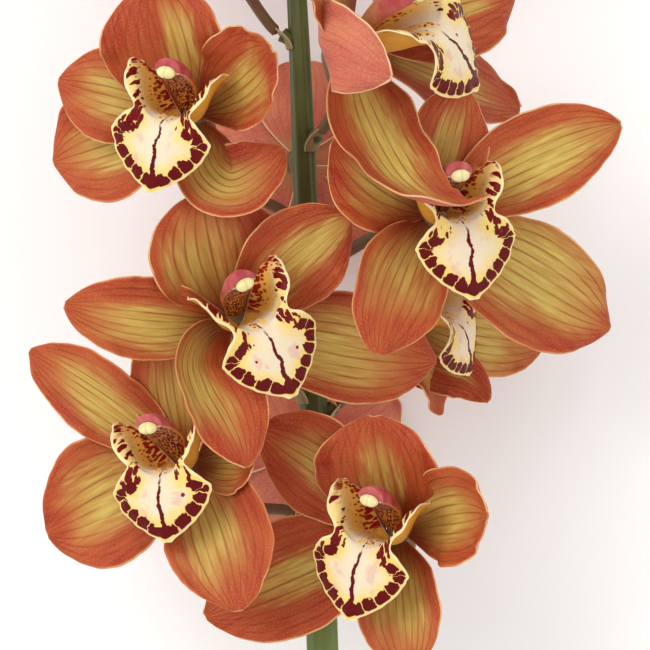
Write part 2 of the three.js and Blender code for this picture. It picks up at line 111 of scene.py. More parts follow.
# The lip starts below the column, runs forward and then hangs: down is its slope at the throat,
# and drop at the mid lobe. Throat and core are its half widths at its start and its middle, and
# the lobes add to them. Gape is the slope of its side walls at the throat, spread their slope at
# the end of the side lobes, and flare what they open by towards their margins.
LIP = {
    "start": (-3.4, 2.5), "length": 52, "down": -4, "drop": 94, "tip_curl": 14,
    "throat": 2.2, "core": 14, "side_lobe": 16.5, "mid_lobe": 4.5,
    "gape": 84, "spread": 76, "flare": 44, "mid_slope": -14, "mid_flare": 12,
}

# Where along the lip the side lobes end, its front edge bends down, its walls open, the mid lobe
# takes over, and its taper starts.
LOBE_FRONT = (0.28, 0.485)
BENDS = (0.34, 0.68)
OPENS = (0.1, 0.42)
FLATTENS = (0.42, 0.61)
TAPERS = 0.58

# How far along the lip the rows of its grid lie: close together at the side lobes' front edge.
LIP_ROWS = [0, 0.08, 0.18, 0.29, 0.39, 0.45, 0.49, 0.56, 0.7, 0.87, 1]
CRISP = {"height": 0.6, "length": 6.5}  # the lip's waved margin
NOTCH = {"depth": 0.45, "length": 3.9}  # and the small scallops along it
SINUS = {"depth": 2.4, "at": 0.5, "width": 0.028}  # the narrowing above the mid lobe
BLOCK = {"length": 5.2, "gap": 0.34, "outer": 1.1, "inner": 4.9}  # crimson, in from the margin
KEELS = {"apart": 3.6, "height": 1.5, "width": 0.8, "from": 0.1, "to": 0.5}

# The column rises from the bloom's face and arches forward over the lip. Its end is cut at hood
# degrees, so that its upper edge overhangs the anther cap.
COLUMN = {"start": (2.6, 4.4), "length": 29, "rise": 39, "end": 5, "half_width": 5.6,
          "depth": 3.7, "hood": 26}

ANTHER_CAP = {"half_width": 3.3, "half_height": 2.1, "half_depth": 2.2, "below": 0.3,
              "flat_back": 0.3, "fold": 0.12, "fold_width": 0.16}

SEEDS_PER_BLOOM = 7  # more than it has tepals, so that no two tepals are alike

# A bloom below the stem faces the floor and stands on the tips of its tepals.
FACING_DOWN = {
    "yaw": 180,
    "lip": {"side_lobe": 13},
    "tepals": {
        "dorsal_sepal": {"length": 46, "lean": 24, "curl": 30},
        "left_petal": {"length": 56, "lean": 24, "curl": 52},
        "right_petal": {"length": 56, "lean": 24, "curl": 52},
        "left_sepal": {"angle": -135, "length": 52, "lean": 34, "curl": 30},
        "right_sepal": {"angle": -45, "length": 52, "lean": 34, "curl": 30},
    },
}

# A bloom's joint is how far along +Y it leaves the stem, and on which side, anticlockwise from +X
# as seen from the butt. Its pedicel runs from there through via. Its own values for its lip and
# tepals replace the usual ones.
BLOOMS = {
    "bloom_01": {
        "at": (25, -71, 92), "yaw": -24, "roll": 13, "joint": (-100, 20), "via": [(22, -96, 66)],
        "tepals": {
            "dorsal_sepal": {"angle": 103, "length": 43, "width": 50, "lean": 40, "curl": -20,
                             "spread": 0.25, "blush": 0.8},
            "left_petal": {"angle": 140, "length": 57, "width": 36, "lean": 28, "sweep": 30,
                           "spread": 0.42, "blush": 0.75},
            "right_petal": {"angle": 32, "length": 55, "width": 36, "curl": 32, "sweep": -20,
                            "cup": 45, "spread": 0.6, "blush": 0.5},
            "left_sepal": {"angle": -142, "length": 70, "width": 42, "lean": 28, "spread": 0.35,
                           "blush": 0.75},
            "right_sepal": {"angle": -64, "length": 47, "width": 32, "lean": 30, "spread": 0.6},
        },
    },
    "bloom_02": {
        "at": (-47, -47, 95), "yaw": -20, "roll": -6, "joint": (-72, 165),
        "via": [(-32, -62, 70)], "lip": {"length": 46},
        "tepals": {
            "dorsal_sepal": {"angle": 88, "length": 45, "width": 33, "spread": 0.6, "blush": 0.35},
            "left_petal": {"angle": 133, "length": 64, "width": 28, "sweep": 12, "gold": -0.1,
                           "spread": 0.55, "blush": 0.7},
            "right_petal": {"angle": -6, "length": 32, "width": 22, "curl": 20, "cup": 40,
                            "spread": 0.8},
            "left_sepal": {"angle": -160, "length": 54, "width": 47, "lean": 14, "gold": 0.1,
                           "blush": 0.85},
            "right_sepal": {"angle": -52, "length": 56, "width": 41, "lean": 30, "sweep": -34,
                            "gold": 0.15, "blush": 0.8},
        },
    },
    "bloom_03": {
        "at": (-8, -44, 36.6), "roll": 8, "joint": (-66, -80), "via": [(-4, -60, 48)],
        **FACING_DOWN,
    },
    "bloom_04": {
        "at": (24, 4, 50), "yaw": 60, "roll": -32, "scale": 0.9, "joint": (-34, 0),
        "via": [(8, -16, 50)], "lip": {"length": 50},
        "tepals": {
            "dorsal_sepal": {"angle": 92, "length": 40, "lean": 24},
            "left_petal": {"angle": 150, "length": 34, "lean": 30},
            "right_petal": {"angle": -42, "length": 70, "width": 40, "lean": 34, "curl": -8,
                            "gold": 0.1, "spread": 0.8, "reach": 0.9},
            "left_sepal": {"angle": -100, "length": 42, "width": 24, "lean": 30},
            "right_sepal": {
                "path": [(24.7, 1, 49.4), (30, -8, 46.5), (40, -15.5, 43), (51, -19.5, 43.5),
                         (58.5, -27, 44.5)],
                "facing": [(0.3, 0.2, 0.93), (0.2, 0.35, 0.9)], "width": 21, "cup": 20,
                "spread": 0.1, "blush": 1,
            },
        },
    },
    "bloom_05": {
        "at": (-31, 2, 101), "yaw": 18, "roll": -26, "joint": (-26, 150), "via": [(-24, -12, 76)],
        "tepals": {
            "dorsal_sepal": {"length": 43, "width": 50, "lean": 22, "sweep": -20, "gold": -0.25,
                             "spread": 0.45},
            "left_petal": {"length": 58, "width": 29, "lean": 15, "sweep": -18, "gold": -0.25,
                           "blush": 0.65},
            "right_petal": {"angle": 29, "length": 50, "lean": 32, "sweep": -22, "gold": 0.05,
                            "spread": 0.42, "reach": 1, "blush": 0.75},
            "left_sepal": {
                "path": [(-32.6, -0.3, 104), (-38.4, -5.4, 109), (-41.1, -12.6, 114),
                         (-38.1, -21.1, 119), (-33, -29.6, 123), (-28.9, -38.4, 126),
                         (-26.2, -47.6, 127)],
                "facing": [(0.5, 0.1, 0.86), (0.45, 0, 0.89)], "width": 33, "cup": 58,
                "gold": 0.35, "blush": 0.8,
            },
            "right_sepal": {"angle": -43, "length": 71, "width": 39, "lean": 13, "sweep": 12,
                            "gold": 0.05, "spread": 0.6, "blush": 0.8},
        },
    },
    "bloom_06": {
        "at": (37, 37, 100), "yaw": 18, "roll": -9, "joint": (14, 45), "via": [(16, 30, 80)],
        "tepals": {
            "dorsal_sepal": {"angle": 84, "length": 43, "width": 30, "lean": 28, "sweep": -25,
                             "spread": 0.3, "blush": 0.45},
            "left_petal": {"angle": 138, "length": 43, "width": 42, "lean": 18, "gold": -0.15,
                           "spread": 0.45, "blush": 0.8},
            "right_petal": {"angle": 27, "length": 68, "width": 34, "lean": 27, "sweep": -18,
                            "gold": 0.12, "reach": 1},
            "left_sepal": {"angle": -140, "length": 54, "width": 35, "lean": 30, "sweep": 25,
                           "spread": 0.6, "reach": 0.7, "blush": 0.8},
            "right_sepal": {"angle": -47, "length": 73, "width": 43, "lean": 10, "sweep": 16,
                            "gold": -0.25, "spread": 0.8, "reach": 0.9, "blush": 0.85},
        },
    },
    "bloom_07": {
        "at": (-10, 58, 36.6), "roll": -6, "joint": (34, -100), "via": [(-8, 42, 48)],
        **FACING_DOWN,
    },
    "bloom_08": {
        "at": (-45, 71, 104), "yaw": -18, "roll": 11, "joint": (34, 160), "via": [(-32, 50, 78)],
        "lip": {"length": 49},
        "tepals": {
            "dorsal_sepal": {"angle": 116, "length": 45, "width": 46, "lean": 32, "sweep": -10,
                             "gold": 0.3, "spread": 0.3, "blush": 0.9},
            "left_petal": {"angle": 176, "length": 45, "width": 34, "lean": 18},
            "right_petal": {"angle": 36, "length": 54, "width": 36, "lean": 22, "curl": 34,
                            "cup": 40, "gold": 0.2, "spread": 0.45, "blush": 0.9},
            "left_sepal": {"angle": -153, "length": 51, "width": 43, "lean": 8, "spread": 0.45},
            "right_sepal": {
                "path": [(-42.3, 68.8, 104.8), (-40.6, 61.5, 108), (-38.4, 53, 114),
                         (-31.6, 47.9, 118), (-22.1, 52.7, 118), (-13.9, 59.5, 117)],
                "facing": [(0.1, 0.2, 0.97), (-0.1, 0.3, 0.95)], "width": 28, "cup": 24,
                "gold": 0.1, "spread": 0.6, "blush": 0.9,
            },
        },
    },
    "bloom_09": {
        "at": (10.3, 94.6, 118), "yaw": 55, "pitch": 9, "roll": -51, "scale": 1.1,
        "joint": (62, 40), "via": [(4, 78, 84)],
        "tepals": {
            "dorsal_sepal": {"angle": 92, "length": 46, "width": 36},
            "left_petal": {
                "path": [(9, 95.5, 120.5), (1.5, 95, 131), (-1.2, 92.8, 143), (4, 89, 153),
                         (13, 84, 158.5), (21.8, 80, 160)],
                "facing": [(0.82, 0.15, 0.55), (0.25, 0.1, -0.96)], "width": 30, "cup": 36,
                "open": 20,
            },
            "right_petal": {"angle": -32, "width": 34, "lean": 34, "sweep": -10, "spread": 0.1,
                            "blush": 1},
            "left_sepal": {
                "path": [(11.5, 91.5, 119), (9.5, 86, 119.5), (12.2, 73, 121), (18, 59, 126),
                         (27.6, 45.6, 138), (40.5, 39.4, 146.5), (54, 42.6, 150)],
                "facing": [(0.35, 0.1, 0.93), (-0.16, 0.98, 0.05)], "width": 35, "widest": 0.33,
                "cup": 52, "open": 14, "gold": -0.1, "blush": 0.75,
            },
            "right_sepal": {"angle": -66, "length": 72, "width": 25, "lean": 14, "curl": -10,
                            "spread": 0.4, "blush": 0.7},
        },
    },
    "bloom_10": {
        "at": (-52, 166, 86), "yaw": -30, "pitch": 10, "roll": 10, "joint": (98, 175),
        "via": [(-34, 128, 72)],
        "tepals": {
            "dorsal_sepal": {"length": 50},
            "left_petal": {"length": 54},
            "right_petal": {"length": 44, "lean": 30},
            "left_sepal": {"length": 52},
            "right_sepal": {"angle": -60, "length": 44, "lean": 30},
        },
    },
    "bloom_11": {
        "at": (36, 190, 70), "yaw": 34, "pitch": 10, "roll": -12, "joint": (134, 10),
        "via": [(14, 160, 66)],
        "tepals": {
            "dorsal_sepal": {"length": 48},
            "left_petal": {"length": 42, "lean": 30},
            "right_petal": {"length": 54},
            "left_sepal": {"angle": -120, "length": 44, "lean": 30},
            "right_sepal": {"length": 50},
        },
    },
}

BUDS = {
    "bud_01": {"joint": (176, 170), "axis": [(-34, 196, 72), (-46, 214, 78)], "length": 34,
               "radius": 6.6},
    "bud_02": {"joint": (200, 30), "axis": [(-6, 218, 74), (-2, 234, 80)], "length": 28,
               "radius": 5.4},
}

# The camera looks straight down on the flowering part of the stem, and shows width millimetres of
# what lies at height.
VIEW = {"at": (0, 0), "width": 221, "height": 100, "lens": 200, "sensor": 36}

# Light and floor, in metres and watts on the object's own frame.
AIM = (0, 0.05, 0.08)
WINDOW = {"place": (-1.2, 0.9, 1.8), "size": 1.4, "power": 25}
FILL = {"place": (1.5, -0.8, 1.6), "size": 1.8, "power": 9.2}
ROOM_STRENGTH = 0.86
FLOOR = {"half_size": 3.0, "below": 0.0003}

# ---- Arithmetic ----


def sin(degrees):
    return math.sin(math.radians(degrees))


def cos(degrees):
    return math.cos(math.radians(degrees))


def wave(way, length, stray=0.0, over=1.0):
    """A sine that repeats every length, sooner and later by turns where it strays."""
    return math.sin(2 * math.pi * way / length + stray * math.sin(way / over))


def bell(x, width):
    """A smooth hump, 1 high at 0."""
    return math.exp(-((x / width) ** 2))


def lerp(a, b, t):
    return a + (b - a) * t


def clamp(x, low=0.0, high=1.0):
    return max(low, min(high, x))


def ramp(start, end, x):
    t = clamp((x - start) / (end - start))
    return t * t * (3 - 2 * t)


def walked(start, length, share, direction, steps=16):
    """Adds up steps along a direction that changes over the way, from 0 to a share of a length."""
    point = Vector(start)
    for i in range(steps):
        point += direction(share * (i + 0.5) / steps) * (length * share / steps)
    return point


class Route:
    """A smooth curve through points, walked by its length."""

    def __init__(self, points, per_span=24):
        points = [Vector(p) for p in points]
        knots = [2 * points[0] - points[1], *points, 2 * points[-1] - points[-2]]
        self.points = [points[0]]
        for a, b, c, d in zip(knots, knots[1:], knots[2:], knots[3:]):
            before, between, after = [math.sqrt(step.length) for step in (b - a, c - b, d - c)]
            middle = (c - b) / between
            leave = ((b - a) / before - (c - a) / (before + between) + middle) * between
            arrive = (middle - (d - b) / (between + after) + (d - c) / after) * between
            for i in range(1, per_span + 1):
                t = i / per_span
                bend = (3 * (c - b) - 2 * leave - arrive) * t ** 2
                turn = (2 * (b - c) + leave + arrive) * t ** 3
                self.points.append(b + leave * t + bend + turn)
        self.marks = [0.0]
        for p, q in zip(self.points, self.points[1:]):
            self.marks.append(self.marks[-1] + (q - p).length)
        self.length = self.marks[-1]

    def at(self, along):
        reach = clamp(along) * self.length
        low, high = 0, len(self.marks) - 1
        while high - low > 1:
            middle = (low + high) // 2
            low, high = (middle, high) if self.marks[middle] <= reach else (low, middle)
        t = (reach - self.marks[low]) / (self.marks[high] - self.marks[low])
        return self.points[low].lerp(self.points[high], t)

    def ahead(self, along):
        nudge = 2e-3
        return (self.at(clamp(along + nudge)) - self.at(clamp(along - nudge))).normalized()


# ---- Meshes ----

ROUNDED = ("SUBSURF", {"levels": 1, "render_levels": 1})


def new_bmesh(*marks):
    bm = bmesh.new()
    bm.verts.layers.deform.verify()
    for name in marks:
        bm.verts.layers.float_vector.new(name)
    return bm


def leaf_grid(bm, grid, surface, marks, flesh=None):
    """Adds a grid moved by surface(u, v) and gives its points the marks that finishes read.

    Flesh(u, v) is how full the wall is there, 0 to 1.
    """
    layers = {name: bm.verts.layers.float_vector[name] for name in marks}
    fullness = bm.verts.layers.deform.verify() if flesh else None
    made = bmesh.ops.create_grid(bm, x_segments=grid[0], y_segments=grid[1], size=0.5)
    for vert in made["verts"]:
        u, v = vert.co.x + 0.5, vert.co.y + 0.5
        for name, mark in marks.items():
            vert[layers[name]] = mark(u, v)
        if flesh:
            vert[fullness][0] = flesh(u, v)
        vert.co = surface(u, v)


def skin_share(turn, along):
    """The usual mark of a round body: how far round and how far along it a point lies."""
    return turn / 360, along, 0


def wrapped(girth, length, seed):
    """Turns a round body's mark into a place on its skin in millimetres."""
    return lambda mark, point: (sin(360 * mark[0]) * girth, mark[1] * length, seed)


def round_body(bm, grid, place, skin_mm, skin=skin_share):
    """Adds a closed rod: place(x, y, along) takes a point of the unit circle and the way along.

    Skin(turn, along) is its mark there, and skin_mm(mark, point) its place on the skin.
    """
    share, size = [bm.verts.layers.float_vector[name] for name in ("skin", "skin_mm")]
    made = bmesh.ops.create_grid(bm, x_segments=grid[0], y_segments=grid[1], size=0.5)
    for vert in made["verts"]:
        turn, along = 360 * (vert.co.x + 0.5), vert.co.y + 0.5
        vert.co = place(cos(turn), sin(turn), along)
        vert[share] = skin(turn, along)
        vert[size] = skin_mm(vert[share], vert.co)
    bmesh.ops.remove_doubles(bm, verts=made["verts"], dist=1e-4)


def limb(bm, route, grid, radius, skin_mm, skin=skin_share, ends=0.0):
    """Adds a rod along a route, closed by round ends that take a share of its length."""
    steps = grid[1]
    start = route.ahead(0)
    side = start.cross(Vector((0, 0, 1)) if abs(start.z) < 0.9 else Vector((1, 0, 0))).normalized()
    frames = []
    for i in range(steps + 1):
        ahead = route.ahead(i / steps)
        side = (side - ahead * side.dot(ahead)).normalized()
        frames.append((side, ahead.cross(side)))

    def place(x, y, along):
        right, up = frames[round(along * steps)]
        closing = 1.0
        if ends:
            closing = math.sqrt(clamp(1 - (1 - clamp(min(along, 1 - along) / ends)) ** 2))
        if along in (0, 1):
            closing = 0.0
        r = radius(along, math.degrees(math.atan2(y, x))) * closing
        return route.at(along) + right * (r * x) + up * (r * y)

    round_body(bm, grid, place, skin_mm, skin)


def piece(name, bm, finishes, nodes=(), modifiers=()):
    """Makes a finished piece of a bmesh in millimetres."""
    for vert in bm.verts:
        vert.co = (vert.co - MIDDLE) * MM
    mesh = bpy.data.meshes.new(name)
    bm.to_mesh(mesh)
    bm.free()
    mesh.shade_smooth()
    for finish in finishes:
        mesh.materials.append(finish)
    thing = bpy.data.objects.new(name, mesh)
    bpy.context.scene.collection.objects.link(thing)
    thing.vertex_groups.new(name="flesh")
    for kind, settings in modifiers:
        modifier = thing.modifiers.new(kind.title(), kind)
        for key, value in settings.items():
            setattr(modifier, key, value)
    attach(thing, "root")
    if nodes:
        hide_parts(*nodes)
    return thing


def walled(thickness, share=None):
    """A wall of that thickness on both sides of a sheet, its back in the second finish.

    Where there is no flesh, it is only a share as thick.
    """
    settings = {"thickness": thickness * MM, "offset": 0}
    if share:
        settings |= {"material_offset": 1, "vertex_group": "flesh",
                     "thickness_vertex_group": share}
    return "SOLIDIFY", settings


# ---- Finishes ----

SMOOTH = {"interpolation_type": "SMOOTHSTEP"}
COLOUR = {"data_type": "RGBA"}
FLESH = {"IOR": 1.4, "Specular IOR Level": 0.2, "Subsurface Weight": 0.08,
         "Subsurface Radius": (0.003, 0.0012, 0.0006), "Subsurface Scale": 0.5}
STALK = {"IOR": 1.4}


def linear(hex_colour):
    """An sRGB hex colour as linear red, green, blue and 1."""
    parts = [int(hex_colour[i:i + 2], 16) / 255 for i in (1, 3, 5)]
    return [c / 12.92 if c <= 0.04045 else ((c + 0.055) / 1.055) ** 2.4 for c in parts] + [1]


def node(tree, kind, inputs=(), out=None, **settings):
    """Adds a node with its settings, fills its inputs and gives one of its outputs.

    Inputs are values, hex colours or other outputs, by name or in the order of the open sockets.
    """
    made = tree.nodes.new(f"ShaderNode{kind}")
    for key, value in settings.items():
        setattr(made, key, value)
    if isinstance(inputs, dict):
        filled = [(made.inputs[key], value) for key, value in inputs.items()]
    else:
        filled = list(zip([socket for socket in made.inputs if socket.enabled], inputs))
    for socket, value in filled:
        if isinstance(value, bpy.types.NodeSocket):
            tree.links.new(value, socket)
        else:
            socket.default_value = linear(value) if isinstance(value, str) else value
    if out:
        return made.outputs[out]
    return next((socket for socket in made.outputs if socket.enabled), None)


def new_finish(name):
    """An empty material and the way to add a node to it."""
    material = bpy.data.materials.new(name)
    material.use_nodes = True
    material.node_tree.nodes.clear()
    return material, functools.partial(node, material.node_tree)


def fold(add, operation, *parts, **passage):
    """Joins parts one after another. A list is a value that passes from one range to another."""
    values = [add("MapRange", part, **passage) if isinstance(part, list) else part
              for part in parts]
    return functools.reduce(lambda a, b: add("Math", [a, b], operation=operation), values)


def numbers(add, name):
    """The three numbers of a mark that the mesh's points carry."""
    mark = add("Attribute", attribute_name=name, out="Vector")
    return add("SeparateXYZ", [mark]).node.outputs


def fields(add, place, *kinds):
    """Noise at a place on a skin, which is an output or the name of a mark.

    A kind is how slowly the noise changes lengthwise, its size in millimetres and its detail.
    """
    if isinstance(place, str):
        place = add("Attribute", attribute_name=place, out="Vector")
    for share, mm, detail in kinds:
        drawn_out = add("VectorMath", [place, (1, share, 1)], operation="MULTIPLY")
        yield add("TexNoise", {"Vector": drawn_out, "Scale": 1 / mm, "Detail": detail})


def skinned(material, add, colour, layers, relief, depth, surface):
    """Lays colours over the first one and closes the material.

    A layer is how much of it shows and its colour. The first is a value, a list that comes in
    smoothly or a tuple that comes in evenly. Relief is raised by depth millimetres, and surface
    fills the shader's other sockets.
    """
    for shown, tint in layers:
        if isinstance(shown, list):
            shown = add("MapRange", shown, **SMOOTH)
        elif isinstance(shown, tuple):
            shown = add("MapRange", shown)
        colour = add("Mix", [shown, colour, tint], **COLOUR)
    bump = add("Bump", {"Height": relief, "Distance": depth * MM})
    skin = add("BsdfPrincipled", {"Base Color": colour, "Normal": bump, **surface})
    add("OutputMaterial", [skin])
    return material


def vein_field(add, across):
    """How strongly a tepal's long veins show: thin lines from base to tip that waver and fade."""
    wander, faint = fields(add, "petal_mm", (0.28, 11, 2), (0.28, 5, 1))
    shifted = add("Math", [wander, 0.07, across], operation="MULTIPLY_ADD")
    turns = add("Math", [shifted, math.pi * (VEINS + 0.5)], operation="MULTIPLY")
    wave = add("Math", [add("Math", [turns], operation="COSINE")], operation="ABSOLUTE")
    line = add("Math", [wave, 22], operation="POWER")
    return fold(add, "MULTIPLY", line, [faint, 0.3, 0.6, 0.35, 1])


def petal_face():
    """Cymbidium petal, the inner face: fleshy skin over water-filled tissue, grown smooth.

    It reads as satin: a golden middle that runs out in streaks into coral and red, long brownish
    veins, a fine mottling of swollen cells, painted shade that darkens it towards the base, and a
    pale rim where the flesh ends.
    """
    material, add = new_finish("cymbidium_petal_grown_satin_face")
    across, along, rim = numbers(add, "petal_share")
    gold_place, spread, blush = numbers(add, "petal_tone")
    from_base, reach, _ = numbers(add, "petal_depth")
    # the grain is swollen cells 0.1 mm across, drawn 0.6 mm so that they show
    cloud, streak, grain = fields(add, "petal_mm", (0.28, 8, 3), (0.1, 1.1, 3), (1, 0.6, 2))
    veins = vein_field(add, across)

    # the golden middle
    off = add("Math", [fold(add, "SUBTRACT", across, gold_place)], operation="ABSOLUTE")
    off = fold(add, "ADD", off, [cloud, 0.2, 0.8, -0.22, 0.22], [streak, 0.2, 0.8, -0.14, 0.14])
    off = fold(add, "DIVIDE", off, spread)
    way = fold(add, "ADD", fold(add, "DIVIDE", along, reach), [cloud, 0.2, 0.8, -0.15, 0.15])
    gold = fold(add, "MULTIPLY", [off, 0.3, 1.5, 1, 0], [way, 0.6, 1.15, 1, 0], **SMOOTH)
    golden = add("Mix", [add("MapRange", [streak, 0.3, 0.7]), "#ceb863", "#b99444"], **COLOUR)

    # coral, redder outwards
    outward = add("MapRange", [add("Math", [across], operation="ABSOLUTE"), 0.1, 0.9], **SMOOTH)
    red = fold(add, "MULTIPLY", [cloud, 0.25, 0.7, 0.35, 1.3], blush, [outward, 0, 1, 0.7, 1])

    # veins, and a rim that is pale in places
    inside = add("MapRange", [rim, 0.5, 3], **SMOOTH)
    vein = fold(add, "MULTIPLY", veins, [gold, 0, 1, 0.5, 0.7], inside)
    ragged = fold(add, "ADD", [grain, 0.2, 0.8, -0.3, 0.3], rim)
    pale = add("MapRange", [ragged, 0.1, 0.5, 1, 0], **SMOOTH)
    pale = fold(add, "MULTIPLY", pale, [cloud, 0.35, 0.62, 0.15, 0.85])

    relief = add("Math", [veins, -1.5, grain], operation="MULTIPLY_ADD")
    return skinned(material, add, "#ba5a32", [
        (red, "#99271c"),
        ((streak, 0.4, 0.75, 0, 0.4), "#c4703c"),
        (gold, golden),
        ([grain, 0.5, 0.68, 0, 0.24], "#d68f52"),
        (vein, "#8a3818"),
        # painted shade: darker brown and red towards the base, broadly within 34 mm and deeply within
        # 17 mm
        ([from_base, 8, 34, 0.42, 0], "#944a1c"),
        ([from_base, 3, 17, 0.8, 0], "#7a2812"),
        ([rim, 0.5, 1.8, 0.2, 0], "#cc6e38"),
        (pale, "#e6b67a"),
    ], relief, 0.12, {"Roughness": 0.48, **FLESH})


def petal_back():
    """Cymbidium petal, the outer face: the same flesh, duller, flushed rose over pale coral."""
    material, add = new_finish("cymbidium_petal_grown_satin_back")
    across, along, rim = numbers(add, "petal_share")
    cloud, grain = fields(add, "petal_mm", (0.28, 7, 3), (1, 0.7, 2))
    veins = vein_field(add, across)
    relief = add("Math", [veins, 0.8, grain], operation="MULTIPLY_ADD")
    return skinned(material, add, "#b34e42", [
        ((cloud, 0.3, 0.7), "#cb7858"),
        (fold(add, "MULTIPLY", veins, 0.35), "#8f3a3c"),
        ((grain, 0.45, 0.75, 0, 0.3), "#e0a284"),
        ([along, 0, 0.2, 0.5, 0], "#b0a058"),
        ([rim, 0.3, 0.9, 0.9, 0], "#efcba0"),
    ], relief, 0.1, {"Roughness": 0.52, **FLESH})


def lip_face():
    """Cymbidium lip, the upper face: thick waxy flesh with crimson blotches grown into it.

    Whitish in the middle and yellow outwards, with a scalloped crimson band inside the pale rim of
    the mid lobe, blots at the side lobes' front, red-orange dots above them, a crimson line down
    the middle and red dots on the two yellow keels.
    """
    material, add = new_finish("cymbidium_lip_grown_waxy_face")
    across_mm, along_mm, share = numbers(add, "lip_mm")
    rim, around, seed = numbers(add, "lip_margin")
    flat = add("CombineXYZ", [across_mm, along_mm, seed])
    off_middle = add("Math", [across_mm], operation="ABSOLUTE")
    off_tip = add("Math", [around], operation="ABSOLUTE")
    soft, swell, grain = fields(add, flat, (1, 5, 2), (1, 1.3, 1), (1, 0.6, 2))

    # the ground: yellow near the rim, on the side lobes and in the throat, rosy beside the middle.
    # The yellow and orange low on the side lobes beside the column are partly their own colour
    # and partly painted light shining through the flesh
    in_from_rim = fold(add, "ADD", [soft, 0.2, 0.8, -2, 2], rim)
    side = fold(add, "MULTIPLY", [share, 0.56, 0.4], [off_middle, 5, 9], **SMOOTH)
    high = fold(add, "MULTIPLY", [share, 0.44, 0.3], [off_middle, 4, 10], **SMOOTH)
    smudge = fold(add, "MULTIPLY", [off_middle, 3, 5], [off_middle, 9, 6.5], [share, 0.52, 0.6],
                  [soft, 0.5, 0.62, 0, 0.5], **SMOOTH)

    # red-orange dots of the side lobes, thick near their upper margin
    drawn_out = add("VectorMath", [flat, (1, 0.45, 1)], operation="MULTIPLY")
    dots = add("TexVoronoi", {"Vector": drawn_out, "Scale": 1 / 1.15})
    dots = fold(add, "SUBTRACT", [rim, 10, 2, 0.2, 0.66], dots)
    dot = fold(add, "MULTIPLY", [dots, -0.02, 0.1], [share, 0.46, 0.4], [off_middle, 5, 8],
               **SMOOTH)
    redden = add("Mix", [add("MapRange", [rim, 7, 2]), "#b23a18", "#8a1a14"], **COLOUR)

    # crimson blots at the side lobes' front, each a short bar across
    warped = add("Math", [swell, 1.5, across_mm], operation="MULTIPLY_ADD")
    moved = add("CombineXYZ", [warped, fold(add, "MULTIPLY", along_mm, 0.6), seed])
    blots = add("TexVoronoi", {"Vector": moved, "Scale": 1 / 1.7, "Randomness": 0.85})
    thick = fold(add, "ADD", [rim, 12, 4.5, 0.15, 0.54], [share, 0.34, 0.43, -0.5, 0],
                 [share, 0.64, 0.54, -0.5, 0], [rim, 0.4, 0.9, -0.4, 0],
                 [off_middle, 4, 7, -0.5, 0])
    blot = fold(add, "SUBTRACT", thick, blots)

    # the mid lobe's band of blocks, rounded and parted by thin gaps
    round_mm = fold(add, "ADD", [swell, 0.2, 0.8, -0.5, 0.5], around,
                    fold(add, "MULTIPLY", seed, 3.7))
    to_gap = add("TexVoronoi", {"W": round_mm, "Scale": 1 / BLOCK["length"], "Randomness": 0.7},
                 voronoi_dimensions="1D", feature="DISTANCE_TO_EDGE")
    to_gap = add("Math", [to_gap, BLOCK["length"], -BLOCK["gap"]], operation="MULTIPLY_ADD")
    girth = add("TexNoise", {"W": round_mm, "Scale": 1 / 5, "Detail": 1},
                noise_dimensions="1D")
    deep = fold(add, "ADD", [girth, 0.3, 0.7, -0.7, 0.7], [swell, 0.2, 0.8, -0.6, 0.6],
                BLOCK["inner"])
    to_side = fold(add, "MINIMUM", fold(add, "SUBTRACT", deep, rim),
                   fold(add, "SUBTRACT", rim, BLOCK["outer"]))
    block = add("Math", [to_gap, to_side, 1.9], operation="SMOOTH_MIN")
    block = fold(add, "ADD", block, [share, 0.5, 0.57, -3, 0], [off_tip, 2.6, 3.6, -2, 0])

    # scattered spots
    spots = add("TexVoronoi", {"Vector": flat, "Scale": 1 / 3.6})
    few = fold(add, "MULTIPLY", [share, 0.46, 0.52], [share, 0.8, 0.66], **SMOOTH)
    spots = fold(add, "SUBTRACT", fold(add, "MULTIPLY", [soft, 0.4, 0.7, -0.1, 0.3], few), spots)
    spot = fold(add, "MULTIPLY", [spots, 0, 0.05], [off_middle, 2, 3], **SMOOTH)

    # the line down the middle, broken above and swollen at the tip
    wander = add("TexNoise", {"W": fold(add, "ADD", along_mm, seed), "Scale": 1 / 7, "Detail": 1},
                 noise_dimensions="1D")
    from_line = fold(add, "ADD", [wander, 0.2, 0.8, -0.9, 0.9], across_mm)
    from_line = add("Math", [from_line], operation="ABSOLUTE")
    swollen = add("MapRange", [share, 0.86, 0.93, 0, 1.9], **SMOOTH)
    width = fold(add, "ADD", [share, 0.5, 0.88, 0.3, 1.0], swollen,
                 [swell, 0.3, 0.7, -0.25, 0.25])
    dashed = fold(add, "MAXIMUM", add("MapRange", [soft, 0.47, 0.5], **SMOOTH),
                  [share, 0.5, 0.56])
    line = fold(add, "MULTIPLY", [fold(add, "SUBTRACT", width, from_line), -0.05, 0.15], dashed,
                [share, 0.38, 0.41], [rim, 1.2, 1.5], **SMOOTH)

    # red dots on the yellow keels
    from_keel = fold(add, "SUBTRACT", off_middle, KEELS["apart"] / 2)
    from_keel = add("Math", [from_keel], operation="ABSOLUTE")
    keel = fold(add, "MULTIPLY", [from_keel, 1.4, 0.6], [share, 0.52, 0.44], **SMOOTH)
    beads = add("TexVoronoi", {"Vector": flat, "Scale": 1 / 1.3})
    bead = fold(add, "MULTIPLY", [beads, 0.4, 0.3], keel, [share, 0.26, 0.3], **SMOOTH)

